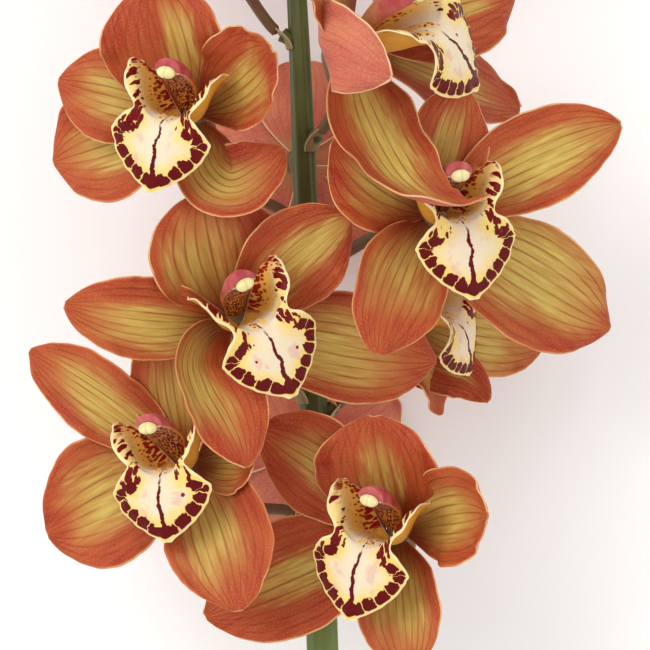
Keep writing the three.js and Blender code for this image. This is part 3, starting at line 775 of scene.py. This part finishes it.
    return skinned(material, add, "#e5d3b4", [
        ([in_from_rim, 4, 10, 1, 0], "#eaca6c"),
        # the next two layers are partly the lobes' own yellow and orange, partly painted light
        # shining through the flesh
        (side, "#efd08a"),
        (high, "#eab34a"),
        ([share, 0.34, 0.08, 0, 0.85], "#dc9a2c"),
        ((grain, 0.45, 0.75, 0, 0.2), "#f6ecd4"),
        (smudge, "#d9a093"),
        (dot, redden),
        ([blot, -0.02, 0.04], "#6c060b"),
        ([block, -0.3, -0.05], "#5f0306"),
        (spot, "#86151b"),
        (line, "#5f0306"),
        (fold(add, "MULTIPLY", keel, 0.75), "#e3b048"),
        (bead, "#8a2a1c"),
        ([rim, 0.3, 0.7, 0.85, 0], "#f2dfb0"),
    ], grain, 0.08, {"Roughness": 0.42, **FLESH})


def lip_back():
    """Cymbidium lip, the under face: the same flesh, plain yellow with a faint red show-through."""
    material, add = new_finish("cymbidium_lip_grown_waxy_back")
    across_mm, along_mm, share = numbers(add, "lip_mm")
    rim, _, seed = numbers(add, "lip_margin")
    flat = add("CombineXYZ", [across_mm, along_mm, seed])
    soft, patch, grain = fields(add, flat, (1, 6, 3), (1, 2.2, 2), (1, 0.6, 2))
    through = fold(add, "MULTIPLY", [rim, 1, 2], [rim, 6, 4], [patch, 0.45, 0.6, 0, 0.35],
                   **SMOOTH)
    return skinned(material, add, "#dfa03a", [
        ([share, 0.44, 0.62], "#e2cf9c"),
        ((soft, 0.45, 0.75, 0, 0.5), "#e6ba62"),
        (through, "#b8604a"),
        ([rim, 0.3, 0.7, 0.8, 0], "#f2dfb0"),
    ], grain, 0.08, {"Roughness": 0.46, **FLESH})


def column_skin():
    """Cymbidium column: waxy flesh, rose on its back, orange below with dense brown dashes."""
    material, add = new_finish("cymbidium_column_grown_waxy")
    sizes = add("Attribute", attribute_name="skin_mm", out="Vector")
    _, along, under = numbers(add, "skin")
    [soft] = fields(add, sizes, (1, 3.5, 2))
    # dashes 0.5 mm wide, drawn out along the column
    drawn_out = add("VectorMath", [sizes, (1, 0.5, 1)], operation="MULTIPLY")
    dashes = add("TexNoise", {"Vector": drawn_out, "Scale": 1 / 0.55, "Detail": 1,
                              "Distortion": 0.6})
    dash = fold(add, "MULTIPLY", [dashes, 0.43, 0.52], [along, 0.93, 0.87], [under, 0.3, 0.6],
                **SMOOTH)
    belly = add("Mix", [add("MapRange", [along, 0.1, 0.75]), "#d8953e", "#cf9078"], **COLOUR)
    belly = add("Mix", [dash, belly, "#64141a"], **COLOUR)
    hood = add("MapRange", [along, 0.9, 0.96], **SMOOTH)
    belly = add("Mix", [hood, belly, "#d9b3a2"], **COLOUR)
    wings = fold(add, "MULTIPLY", [under, 0, 0.15], [under, 0.4, 0.2],
                 [along, 0.92, 0.7, 0, 0.7], **SMOOTH)
    return skinned(material, add, "#aa3c46", [
        ((soft, 0.3, 0.7), "#c56c66"),
        ([along, 0.6, 0.1, 0, 0.8], "#cf9a58"),
        ([under, 0.1, 0.3], belly),
        (wings, "#d9a04a"),
    ], soft, 0.05, {"Roughness": 0.38, **FLESH})


def cap_skin():
    """Cymbidium anther cap: a smooth waxy helmet, pale yellow with a greenish fold."""
    material, add = new_finish("cymbidium_anther_cap_grown_smooth")
    off_fold = add("Math", [numbers(add, "skin_mm")[0]], operation="ABSOLUTE")
    [soft] = fields(add, "skin_mm", (1, 1.8, 2))
    return skinned(material, add, "#dfd38e", [
        ((soft, 0.35, 0.65), "#ece2b0"),
        ([off_fold, 0.5, 0.1, 0, 0.4], "#bfb35c"),
    ], soft, 0.1, {"Roughness": 0.36, **FLESH})


def pedicel_skin():
    """Cymbidium pedicel: a smooth young stalk, brown over olive, finely streaked lengthwise."""
    material, add = new_finish("cymbidium_pedicel_grown_smooth")
    along = numbers(add, "skin")[1]
    streak, soft = fields(add, "skin_mm", (0.08, 0.9, 3), (1, 9, 2))
    return skinned(material, add, "#5f4e2a", [
        ((soft, 0.35, 0.65), "#6b4030"),
        ((streak, 0.35, 0.75, 0, 0.5), "#8b7648"),
        ((along, 0.9, 1, 0, 0.5), "#a0824c"),
    ], streak, 0.1, {"Roughness": 0.5, **STALK})


def stem_skin():
    """Orchid flower stalk: a firm green rod with soft ridges, matt with a thin waxy bloom."""
    material, add = new_finish("cymbidium_stem_grown_ridged")
    _, along, cut = numbers(add, "skin")
    streak, soft = fields(add, "skin_mm", (0.05, 1.1, 3), (0.4, 14, 2))
    return skinned(material, add, "#41471c", [
        ([along, 0.45, 0.37], "#6c8a3c"),
        ((soft, 0.4, 0.7, 0, 0.5), "#5e5c28"),
        ((streak, 0.35, 0.75, 0, 0.45), "#6e7c38"),
        (cut, "#d8d2a0"),
    ], streak, 0.15, {"Roughness": 0.48, **STALK})


def bract_skin():
    """Floral bract: a thin dry scale at each joint, papery and brown-green with a pale edge."""
    material, add = new_finish("cymbidium_bract_dried_papery")
    _, along, rim = numbers(add, "petal_share")
    [streak] = fields(add, "petal_mm", (0.1, 0.6, 3))
    return skinned(material, add, "#6f7440", [
        (along, "#8f7048"),
        ((streak, 0.35, 0.7, 0, 0.6), "#a98f62"),
        ([rim, 0.2, 0.7, 0.5, 0], "#c9b78c"),
    ], streak, 0.15, {"Roughness": 0.62, **STALK})


def bud_skin():
    """Closed cymbidium bud: sepals pressed together, green at the base and coral at the tip."""
    material, add = new_finish("cymbidium_bud_grown_satin")
    _, along, seam = numbers(add, "skin")
    soft, streak = fields(add, "skin_mm", (0.3, 4, 3), (0.1, 0.9, 3))
    way = add("Math", [soft, 0.4, along], operation="MULTIPLY_ADD")
    return skinned(material, add, "#8d8844", [
        ([way, 0.5, 1.1], "#c46a48"),
        ((streak, 0.4, 0.7, 0, 0.45), "#cf955f"),
        ([seam, 0.75, 0.95, 0, 0.7], "#854630"),
    ], streak, 0.12, {"Roughness": 0.46, **FLESH})


def white_board():
    """Matt white board: a smooth painted sheet that gives no reflection."""
    material, add = new_finish("matt_white_board")
    paint = add("BsdfPrincipled", {"Base Color": "#fbfaf8", "Roughness": 0.9,
                                   "Specular IOR Level": 0.1})
    add("OutputMaterial", [paint])
    return material


# ---- Petals and sepals, in the bloom's own frame: x right, y towards the dorsal sepal, z facing ----


def tepal_half_width(t, s):
    rise = lerp(t["waist"], 1, math.sin(math.pi / 2 * min(1, s / t["widest"])))
    past = max(0, (s - t["widest"]) / (1 - t["widest"]))
    return t["width"] / 2 * rise * max(0.05, (1 - past ** 2.1) ** 0.74)


def tepal_place(u, v):
    """The place across a tepal, -1 to 1, and along it, with its rows closer at the tip."""
    return 2 * u - 1, 1 - (1 - v) ** 1.35


def tepal_rim(t, across, s):
    """How many millimetres it is to the nearest margin."""
    return min(tepal_half_width(t, s) * (1 - abs(across)), t["length"] * (1 - s))


def leaning_spine(t):
    """Where a tepal's middle line is at s, which way it runs and which way its width points."""

    def heading(s):
        return t["angle"] + t["sweep"] * s

    def outward(s):
        lean = t["lean"] + t["curl"] * s
        return Vector((cos(lean) * cos(heading(s)), cos(lean) * sin(heading(s)), sin(lean)))

    start = Vector((t["start"] * cos(heading(0)), t["start"] * sin(heading(0)), t["lift"]))

    def spine(s):
        side = Vector((sin(heading(s)), -cos(heading(s)), 0))
        return walked(start, t["length"], s, outward), outward(s), side

    return spine


def path_spine(t, route):
    """The same for a tepal that bends along a path of its own."""
    first, last = [Vector(d).normalized() for d in t["facing"]]

    def spine(s):
        ahead = route.ahead(s)
        side = ahead.cross(first.lerp(last, ramp(0.1, 0.85, s))).normalized()
        return route.at(s), ahead, side

    return spine


def tepal_surface(t, spine, seed):
    """Bends a tepal's flat shape: cupped across, grooved along its middle, waved at its margins."""

    def surface(u, v):
        across, s = tepal_place(u, v)
        point, ahead, side = spine(s)
        half = tepal_half_width(t, s)
        bend = lerp(t["cup"] * ramp(-0.1, 0.4, s), t["open"], ramp(0.4, 1, s))
        bend = math.radians(bend)
        rise = half * (1 - math.cos(bend * across)) / bend
        groove = MIDRIB["depth"] * bell(across * half, MIDRIB["width"])
        rise -= groove * ramp(0, 0.1, s) * (1 - ramp(0.6, 0.95, s))

        # each margin has its own waves, longer and shorter by turns
        late = 75 / 360 * (across > 0)
        rise += t["wave"] * half * abs(across) ** 3 * wave(t["waves"] * s + late, 1)
        way = 2 * math.pi * s * t["length"] / FRILL["length"] + 2.1 * seed + 1.4 * (across > 0)
        way += 1.6 * math.sin(0.37 * way)
        fringe = ramp(0.45, 1, abs(across)) * ramp(0.05, 0.3, s)
        rise += FRILL["height"] * fringe * math.sin(way)
        rise += ROLL["height"] * fringe * math.sin(way * FRILL["length"] / ROLL["length"])
        spill = math.copysign(FRILL["side"] * fringe * math.sin(0.83 * way + 1), across)
        point += side * (half * math.sin(bend * across) / bend + spill)
        return point + side.cross(ahead) * rise

    return surface


def tepal_marks(t, seed):
    def shares(u, v):
        across, s = tepal_place(u, v)
        return across, s, tepal_rim(t, across, s)

    def sizes(u, v):
        across, s = tepal_place(u, v)
        return across * tepal_half_width(t, s), s * t["length"], 9 * seed

    return {
        "petal_share": shares,
        "petal_mm": sizes,
        "petal_tone": lambda u, v: (t["gold"], t["spread"], t["blush"]),
        "petal_depth": lambda u, v: (sizes(u, v)[1], t["reach"], 0),
    }


# ---- Lip, column and anther cap, in the same frame ----


def lip_half_width(lip, s):
    core = lerp(lip["throat"], lip["core"], ramp(0, 0.5, s))
    front = clamp((s - LOBE_FRONT[0]) / (LOBE_FRONT[1] - LOBE_FRONT[0]))
    side_lobe = lip["side_lobe"] * ramp(0.03, 0.2, s) * (1 - front ** 2.4) ** 0.6
    mid_lobe = lip["mid_lobe"] * ramp(0.5, 0.6, s)
    past = clamp((s - TAPERS) / (1 - TAPERS))
    taper = max(0.06, (1 - past ** 2) ** 0.85)
    sinus = SINUS["depth"] * bell(s - SINUS["at"], SINUS["width"])
    return (core + side_lobe + mid_lobe) * taper - sinus


def lip_place(u, v):
    """The place across a lip, -1 to 1, with columns closer near the middle, and along it."""
    row = v * (len(LIP_ROWS) - 1)
    below = min(int(row), len(LIP_ROWS) - 2)
    across = 2 * u - 1
    along = lerp(LIP_ROWS[below], LIP_ROWS[below + 1], row - below)
    return math.copysign(abs(across) ** 1.4, across), along


def lip_margin(lip):
    """How far a point of the flattened lip lies from its margin, and how far round from its tip."""
    steps = 160
    edge = [(lip_half_width(lip, i / steps), lip["length"] * i / steps) for i in range(steps + 1)]
    edge.append((0, lip["length"]))
    edge.reverse()
    marks = [0.0]
    for (x0, y0), (x1, y1) in zip(edge, edge[1:]):
        marks.append(marks[-1] + math.hypot(x1 - x0, y1 - y0))

    @functools.lru_cache(maxsize=None)
    def nearest(x, y):
        best, place = math.inf, 0
        for (x0, y0), (x1, y1), mark in zip(edge, edge[1:], marks):
            dx, dy = x1 - x0, y1 - y0
            size = dx * dx + dy * dy
            t = clamp(((x - x0) * dx + (y - y0) * dy) / size) if size else 0
            gap = math.hypot(x - x0 - t * dx, y - y0 - t * dy)
            if gap < best:
                best, place = gap, mark + t * math.sqrt(size)
        return best, place

    return nearest


def lip_surface(lip, margin):
    """Bends a lip's flat shape: walls raised at its sides, its front hanging, its rim crisped."""

    def drop(s):
        return lerp(lip["down"], lip["drop"], ramp(*BENDS, s)) + lip["tip_curl"] * s ** 5

    def forward(s):
        return Vector((0, -sin(drop(s)), cos(drop(s))))

    start = Vector((0, *lip["start"]))

    def surface(u, v):
        across, s = lip_place(u, v)
        inner = Vector((0, cos(drop(s)), sin(drop(s))))
        wall = lerp(lip["gape"], lip["spread"], ramp(*OPENS, s))
        wall = lerp(wall, lip["mid_slope"], ramp(*FLATTENS, s))
        flare = lerp(lip["flare"], lip["mid_flare"], ramp(*FLATTENS, s))
        reach = abs(across) * lip_half_width(lip, s)
        rim, around = margin(reach, s * lip["length"])
        grown = ramp(0.1, 0.3, s)
        notch = NOTCH["depth"] * wave(around, NOTCH["length"], 1.3, 5)
        reach += notch * ramp(2.5, 0, rim) * grown * abs(across)

        def section(x):
            edge = x * abs(across)
            slope = wall * ramp(0, 0.6, edge) - flare * max(0, 2 * edge - 1) ** 2
            return Vector((-math.copysign(cos(slope), across), 0, 0)) + inner * sin(slope)

        middle = walked(start, lip["length"], s, forward)
        point = walked(middle, reach, 1, section)
        normal = section(1).cross(forward(s)).normalized() * (1 if across > 0 else -1)
        crisp = CRISP["height"] * wave(around, CRISP["length"], 1.7, 9)
        crisp *= ramp(4.5, 0, rim) * grown
        keel = KEELS["height"] * bell(reach - KEELS["apart"] / 2, KEELS["width"])
        keel *= ramp(KEELS["from"], KEELS["from"] + 0.08, s)
        keel *= 1 - ramp(KEELS["to"] - 0.12, KEELS["to"], s)
        return point + normal * crisp + inner * keel

    return surface


def lip_marks(lip, margin, seed):
    def sizes(u, v):
        across, s = lip_place(u, v)
        return across * lip_half_width(lip, s), s * lip["length"], s

    def rims(u, v):
        x, y, s = sizes(u, v)
        rim, around = margin(abs(x), y)
        # the sheet is drawn out where it swings from the side lobes down to the mid lobe
        rim *= 1 + 2 * ramp(0.3, 0.4, s) * (1 - ramp(0.45, 0.52, s))
        return rim, math.copysign(around, x), seed

    return {"lip_mm": sizes, "lip_margin": rims}


def column_rise(s):
    return lerp(COLUMN["rise"], COLUMN["end"], s)


def column_forward(s):
    return Vector((0, sin(column_rise(s)), cos(column_rise(s))))


def column_above(s):
    return Vector((0, cos(column_rise(s)), -sin(column_rise(s))))


def column_middle(s):
    return walked((0, *COLUMN["start"]), COLUMN["length"], s, column_forward)


HOOD_SLOPE = math.tan(math.radians(COLUMN["hood"]))


def column_shape(x, y, along):
    """The column arches forward over the lip, flat below and round above, with a hooded end."""
    s = 1 - (1 - min(1, along / 0.96)) ** 1.5
    wings = lerp(0.6, 1, ramp(0.05, 0.5, s)) - 0.15 * ramp(0.8, 1, s)
    full = lerp(0.8, 1, ramp(0, 0.6, s)) - 0.2 * ramp(0.8, 1, s)
    under = lerp(0.9, 0.35, ramp(0.1, 0.6, s)) if y < 0 else 1 + 0.35 * ramp(0.5, 0.9, s)
    closing = math.sqrt(clamp(1 - clamp((along - 0.88) / 0.12) ** 3))
    if along in (0, 1):
        closing = 0
    height = COLUMN["depth"] * full * under * closing * y
    point = column_middle(s) + Vector((COLUMN["half_width"] * wings * closing * x, 0, 0))
    point += column_above(s) * height
    return point + column_forward(s) * (height * HOOD_SLOPE * ramp(0.7, 1, s))


def add_cap(bm, seed):
    """The anther cap: a small helmet with a fold down its middle, seated on the column's end."""
    skin_mm = bm.verts.layers.float_vector["skin_mm"]
    cap = ANTHER_CAP
    made = bmesh.ops.create_uvsphere(bm, u_segments=24, v_segments=16, radius=1)
    flat_back = -cap["flat_back"] * cap["half_depth"]
    facing = column_rise(1) - COLUMN["hood"]
    seat = column_middle(1) - column_above(1) * cap["below"]
    seat -= column_forward(1) * (cap["below"] * HOOD_SLOPE)
    seat += Vector((0, sin(facing), cos(facing))) * (CLEARANCE - flat_back)
    tilt = Matrix.Rotation(math.radians(-facing), 3, "X")
    for vert in made["verts"]:
        x, y, z = vert.co
        folded = 1 - cap["fold"] * bell(x, cap["fold_width"]) * ramp(-0.2, 0.6, z)
        size = Vector((x * cap["half_width"], y * cap["half_height"] * folded,
                       max(z * cap["half_depth"] * folded, flat_back)))
        vert[skin_mm] = (size.x, size.y, seed)
        vert.co = tilt @ size + seat


# ---- Stem, pedicels and buds ----

stem_axis = Route(STEM["axis"])


def stem_radius(along):
    return lerp(STEM["butt_radius"], STEM["tip_radius"], along ** 1.9)


class Joint:
    """Where a pedicel leaves the stem: its stub's root on the axis, its tip and directions."""

    def __init__(self, y, turn):
        low, high = 0.0, 1.0
        while high - low > 1e-6:
            middle = (low + high) / 2
            low, high = (middle, high) if stem_axis.at(middle).y < y else (low, middle)
        self.along = low
        self.girth = stem_radius(low)
        self.root, self.ahead = stem_axis.at(low), stem_axis.ahead(low)
        right = (Vector((1, 0, 0)) - self.ahead * self.ahead.x).normalized()
        self.out = right * cos(turn) + right.cross(self.ahead) * sin(turn)
        leaves = self.out * STUB["outward"] + self.ahead * STUB["forward"]
        self.direction = leaves.normalized()
        self.tip = self.root + self.direction * (self.girth / STUB["outward"] + STUB["reach"])


def joints():
    return [Joint(*spec["joint"]) for spec in (*BLOOMS.values(), *BUDS.values())]


def make_stem(finish):
    bm = new_bmesh("skin", "skin_mm")

    def radius(along, turn):
        ridge = STEM["ridge_height"] * cos(STEM["ridges"] * turn + 220 * along)
        return stem_radius(along) + ridge * ramp(0, 0.01, along)

    def cut_end(turn, along):
        return turn / 360, along, 1 if along < 0.001 else 0

    def swelling(along, turn):
        return STUB["radius"] * (1 + STUB["swelling"] * bell(along - 0.9, 0.08))

    mean_girth = 6.0
    limb(bm, stem_axis, (42, 220), radius, wrapped(mean_girth, stem_axis.length, 1.0), cut_end)
    for number, joint in enumerate(joints()):
        def at_joint(turn, along):
            return turn / 360, joint.along, 0

        stub = Route([joint.root, joint.root.lerp(joint.tip, 0.5), joint.tip])
        skin_mm = wrapped(STUB["radius"], stub.length, number)
        limb(bm, stub, (16, 12), swelling, skin_mm, at_joint, ends=0.06)
    return piece("stem_with_joints", bm, [finish], ["stem"])


def make_bracts(finish):
    """A dry pointed scale clasps the stem below each joint."""
    bm = new_bmesh("petal_share", "petal_mm")
    for number, joint in enumerate(joints()):
        girth = joint.girth + BRACT["gap"]
        beside = joint.ahead.cross(joint.out).normalized()
        foot = joint.root - joint.ahead * BRACT["below"]

        def half_width(v):
            return BRACT["width"] / 2 * (1 - v ** 2.2)

        def surface(u, v):
            clasp = (2 * u - 1) * (half_width(v) + 0.2) / girth
            around = joint.out * math.cos(clasp) + beside * math.sin(clasp)
            up = joint.ahead * (BRACT["length"] * v * 0.8)
            return foot + around * (girth + BRACT["stand"] * v ** 1.6) + up

        def sizes(u, v):
            return (2 * u - 1) * BRACT["width"] / 2, v * BRACT["length"], number

        def shares(u, v):
            across = 2 * u - 1
            return across, v, min(half_width(v) * (1 - abs(across)), BRACT["length"] * (1 - v))

        leaf_grid(bm, BRACT_GRID, surface, {"petal_mm": sizes, "petal_share": shares})
    wall = walled(BRACT["thickness"])
    return piece("floral_bracts", bm, [finish], [], [wall, ROUNDED])


def make_pedicel(name, spec, facing, finish, seed):
    joint = Joint(*spec["joint"])
    back = Vector(spec["at"]) - facing * (RECEPTACLE["back"] * spec.get("scale", 1))
    route = Route([
        joint.tip + joint.direction * CLEARANCE,
        joint.tip + joint.direction * PEDICEL["straight"],
        *spec["via"],
        back - facing * PEDICEL["neck"],
        back - facing * CLEARANCE,
    ])

    def radius(along, turn):
        girth = lerp(PEDICEL["radius"], PEDICEL["ovary_radius"], ramp(0.3, 0.85, along))
        groove = PEDICEL["groove_depth"] * cos(PEDICEL["grooves"] * turn + 90 * along)
        return girth + groove * ramp(0.15, 0.5, along)

    bm = new_bmesh("skin", "skin_mm")
    limb(bm, route, (24, 48), radius, wrapped(2.5, route.length, seed), ends=0.02)
    return piece(f"{name}_stalk_and_ovary", bm, [finish], [f"{name}_pedicel"])


def make_bud(name, bud, finish, seed):
    joint = Joint(*bud["joint"])
    route = Route([joint.tip + joint.direction * CLEARANCE, joint.tip + joint.direction * 4,
                   *bud["axis"]])
    neck = 1 - bud["length"] / route.length

    def past_neck(along):
        return clamp((along - neck) / (1 - neck))

    def radius(along, turn):
        place = past_neck(along)
        swell = math.sin(math.pi * place ** 0.85) ** 0.8 if 0 < place < 1 else 0
        seam = 1 - 0.06 * ramp(0.7, 1, cos(3 * turn)) * ramp(0.1, 0.4, place)
        end = PEDICEL["radius"] * (1 - 0.6 * ramp(0.97, 1, along))
        return lerp(end, bud["radius"], swell) * seam

    def seams(turn, along):
        return turn / 360, past_neck(along), cos(3 * turn)

    bm = new_bmesh("skin", "skin_mm")
    skin_mm = wrapped(bud["radius"], route.length, seed)
    limb(bm, route, (36, 48), radius, skin_mm, seams, ends=0.02)
    return piece(f"{name}_closed", bm, [finish], [name])


# ---- A bloom ----


def bloom_place(spec):
    """The bloom's turn and its place, as a matrix in millimetres."""
    turn = Matrix.Rotation(math.radians(spec["yaw"]), 4, "Y")
    turn = turn @ Matrix.Rotation(math.radians(-spec.get("pitch", 0)), 4, "X")
    turn = turn @ Matrix.Rotation(math.radians(-spec["roll"]), 4, "Z")
    return Matrix.Translation(spec["at"]) @ turn @ Matrix.Scale(spec.get("scale", 1), 4)


def make_tepals(name, spec, place, finishes, number):
    bm = new_bmesh("petal_share", "petal_mm", "petal_tone", "petal_depth")
    for order, (key, shape) in enumerate(STANDARD_TEPALS.items()):
        t = {**TEPAL, **shape, **spec["tepals"][key]}
        seed = SEEDS_PER_BLOOM * number + order
        home = place
        spine = leaning_spine(t)
        if "path" in t:
            route = Route(t["path"])
            t["length"] = route.length
            home = Matrix.Identity(4)
            spine = path_spine(t, route)
        surface = tepal_surface(t, spine, seed)

        def pressed(u, v):
            """What would sink below the floor is pressed flat on it."""
            point = home @ surface(u, v)
            point.z = max(point.z, TEPAL_WALL["thickness"] / 2)
            return point

        def flesh(u, v):
            return ramp(0, FULL_FLESH, tepal_rim(t, *tepal_place(u, v)))

        leaf_grid(bm, TEPAL_GRID, pressed, tepal_marks(t, seed), flesh)
    walls = [walled(**TEPAL_WALL), ROUNDED]
    piece(f"{name}_petals_and_sepals", bm, finishes, [f"{name}_tepals"], walls)


def make_receptacle(name, place, finish, number):
    def shape(x, y, along):
        bulge = RECEPTACLE["radius"] * math.sin(math.pi * clamp(along)) ** 0.5
        depth = lerp(-RECEPTACLE["back"], RECEPTACLE["front"], along)
        return place @ Vector((bulge * x, bulge * y, depth))

    bm = new_bmesh("skin", "skin_mm")
    length = RECEPTACLE["back"] + RECEPTACLE["front"]
    round_body(bm, (24, 12), shape, wrapped(RECEPTACLE["radius"], length, number))
    piece(f"{name}_receptacle", bm, [finish])


def make_lip(name, spec, place, finishes, number):
    lip = {**LIP, **spec.get("lip", {})}
    margin = lip_margin(lip)
    surface = lip_surface(lip, margin)
    marks = lip_marks(lip, margin, 3.1 * number)

    def flesh(u, v):
        return ramp(0, FULL_FLESH, marks["lip_margin"](u, v)[0])

    bm = new_bmesh("lip_mm", "lip_margin")
    leaf_grid(bm, LIP_GRID, lambda u, v: place @ surface(u, v), marks, flesh)
    walls = [walled(**LIP_WALL), ROUNDED]
    piece(f"{name}_marked_lip", bm, finishes, [f"{name}_lip"], walls)


def make_column(name, place, finish, number):
    def skin_mm(mark, point):
        return point.x, point.z + 0.3 * point.y, number

    def skin(turn, along):
        return turn / 360, along, clamp(-sin(turn))

    bm = new_bmesh("skin", "skin_mm")
    round_body(bm, (36, 32), column_shape, skin_mm, skin)
    bmesh.ops.transform(bm, matrix=place, verts=bm.verts)
    piece(f"{name}_arched_column", bm, [finish], [f"{name}_column"])


def make_cap(name, place, finish, number):
    bm = new_bmesh("skin", "skin_mm")
    add_cap(bm, number)
    bmesh.ops.transform(bm, matrix=place, verts=bm.verts)
    piece(f"{name}_cap", bm, [finish], [f"{name}_anther_cap"])


# ---- The whole flower spike ----

petal_finishes = [petal_face(), petal_back()]
lip_finishes = [lip_face(), lip_back()]
column_finish, cap_finish, pedicel_finish = column_skin(), cap_skin(), pedicel_skin()
bud_finish = bud_skin()

make_stem(stem_skin())
make_bracts(bract_skin())
for number, (name, spec) in enumerate(BLOOMS.items(), 1):
    place = bloom_place(spec)
    facing = (place.to_3x3() @ Vector((0, 0, 1))).normalized()
    make_tepals(name, spec, place, petal_finishes, number)
    make_receptacle(name, place, pedicel_finish, number)
    make_lip(name, spec, place, lip_finishes, number)
    make_column(name, place, column_finish, number)
    make_cap(name, place, cap_finish, number)
    make_pedicel(name, spec, facing, pedicel_finish, number)
for number, (name, bud) in enumerate(BUDS.items(), 1):
    make_bud(name, bud, bud_finish, number)

# ---- Floor, light and camera ----


def make_floor(finish):
    bm = bmesh.new()
    bmesh.ops.create_grid(bm, x_segments=1, y_segments=1, size=FLOOR["half_size"])
    mesh = bpy.data.meshes.new("floor")
    bm.to_mesh(mesh)
    bm.free()
    mesh.materials.append(finish)
    floor = bpy.data.objects.new("floor", mesh)
    floor.location.z = -FLOOR["below"]
    bpy.context.scene.collection.objects.link(floor)


def add_light(name, place, size, power):
    """A square soft light that points at the object."""
    lamp = bpy.data.lights.new(name, "AREA")
    lamp.size = size
    lamp.energy = power
    holder = bpy.data.objects.new(name, lamp)
    holder.location = place
    holder.rotation_euler = (Vector(AIM) - Vector(place)).to_track_quat("-Z", "Y").to_euler()
    bpy.context.scene.collection.objects.link(holder)


def set_world(strength):
    world = bpy.data.worlds.new("pale_room")
    world.use_nodes = True
    background = world.node_tree.nodes["Background"]
    background.inputs["Color"].default_value = (1, 1, 1, 1)
    background.inputs["Strength"].default_value = strength
    bpy.context.scene.world = world


def set_camera():
    camera = bpy.data.cameras.new("camera")
    camera.lens = VIEW["lens"]
    camera.sensor_width = VIEW["sensor"]
    camera.clip_end = 50
    holder = bpy.data.objects.new("camera", camera)
    distance = VIEW["width"] * VIEW["lens"] / VIEW["sensor"]
    holder.location = (Vector((*VIEW["at"], VIEW["height"] + distance)) - MIDDLE) * MM
    bpy.context.scene.collection.objects.link(holder)
    bpy.context.scene.camera = holder


make_floor(white_board())
set_world(ROOM_STRENGTH)
add_light("window_left", **WINDOW)
add_light("fill_right", **FILL)
set_camera()
bpy.context.scene.view_settings.view_transform = "Standard"
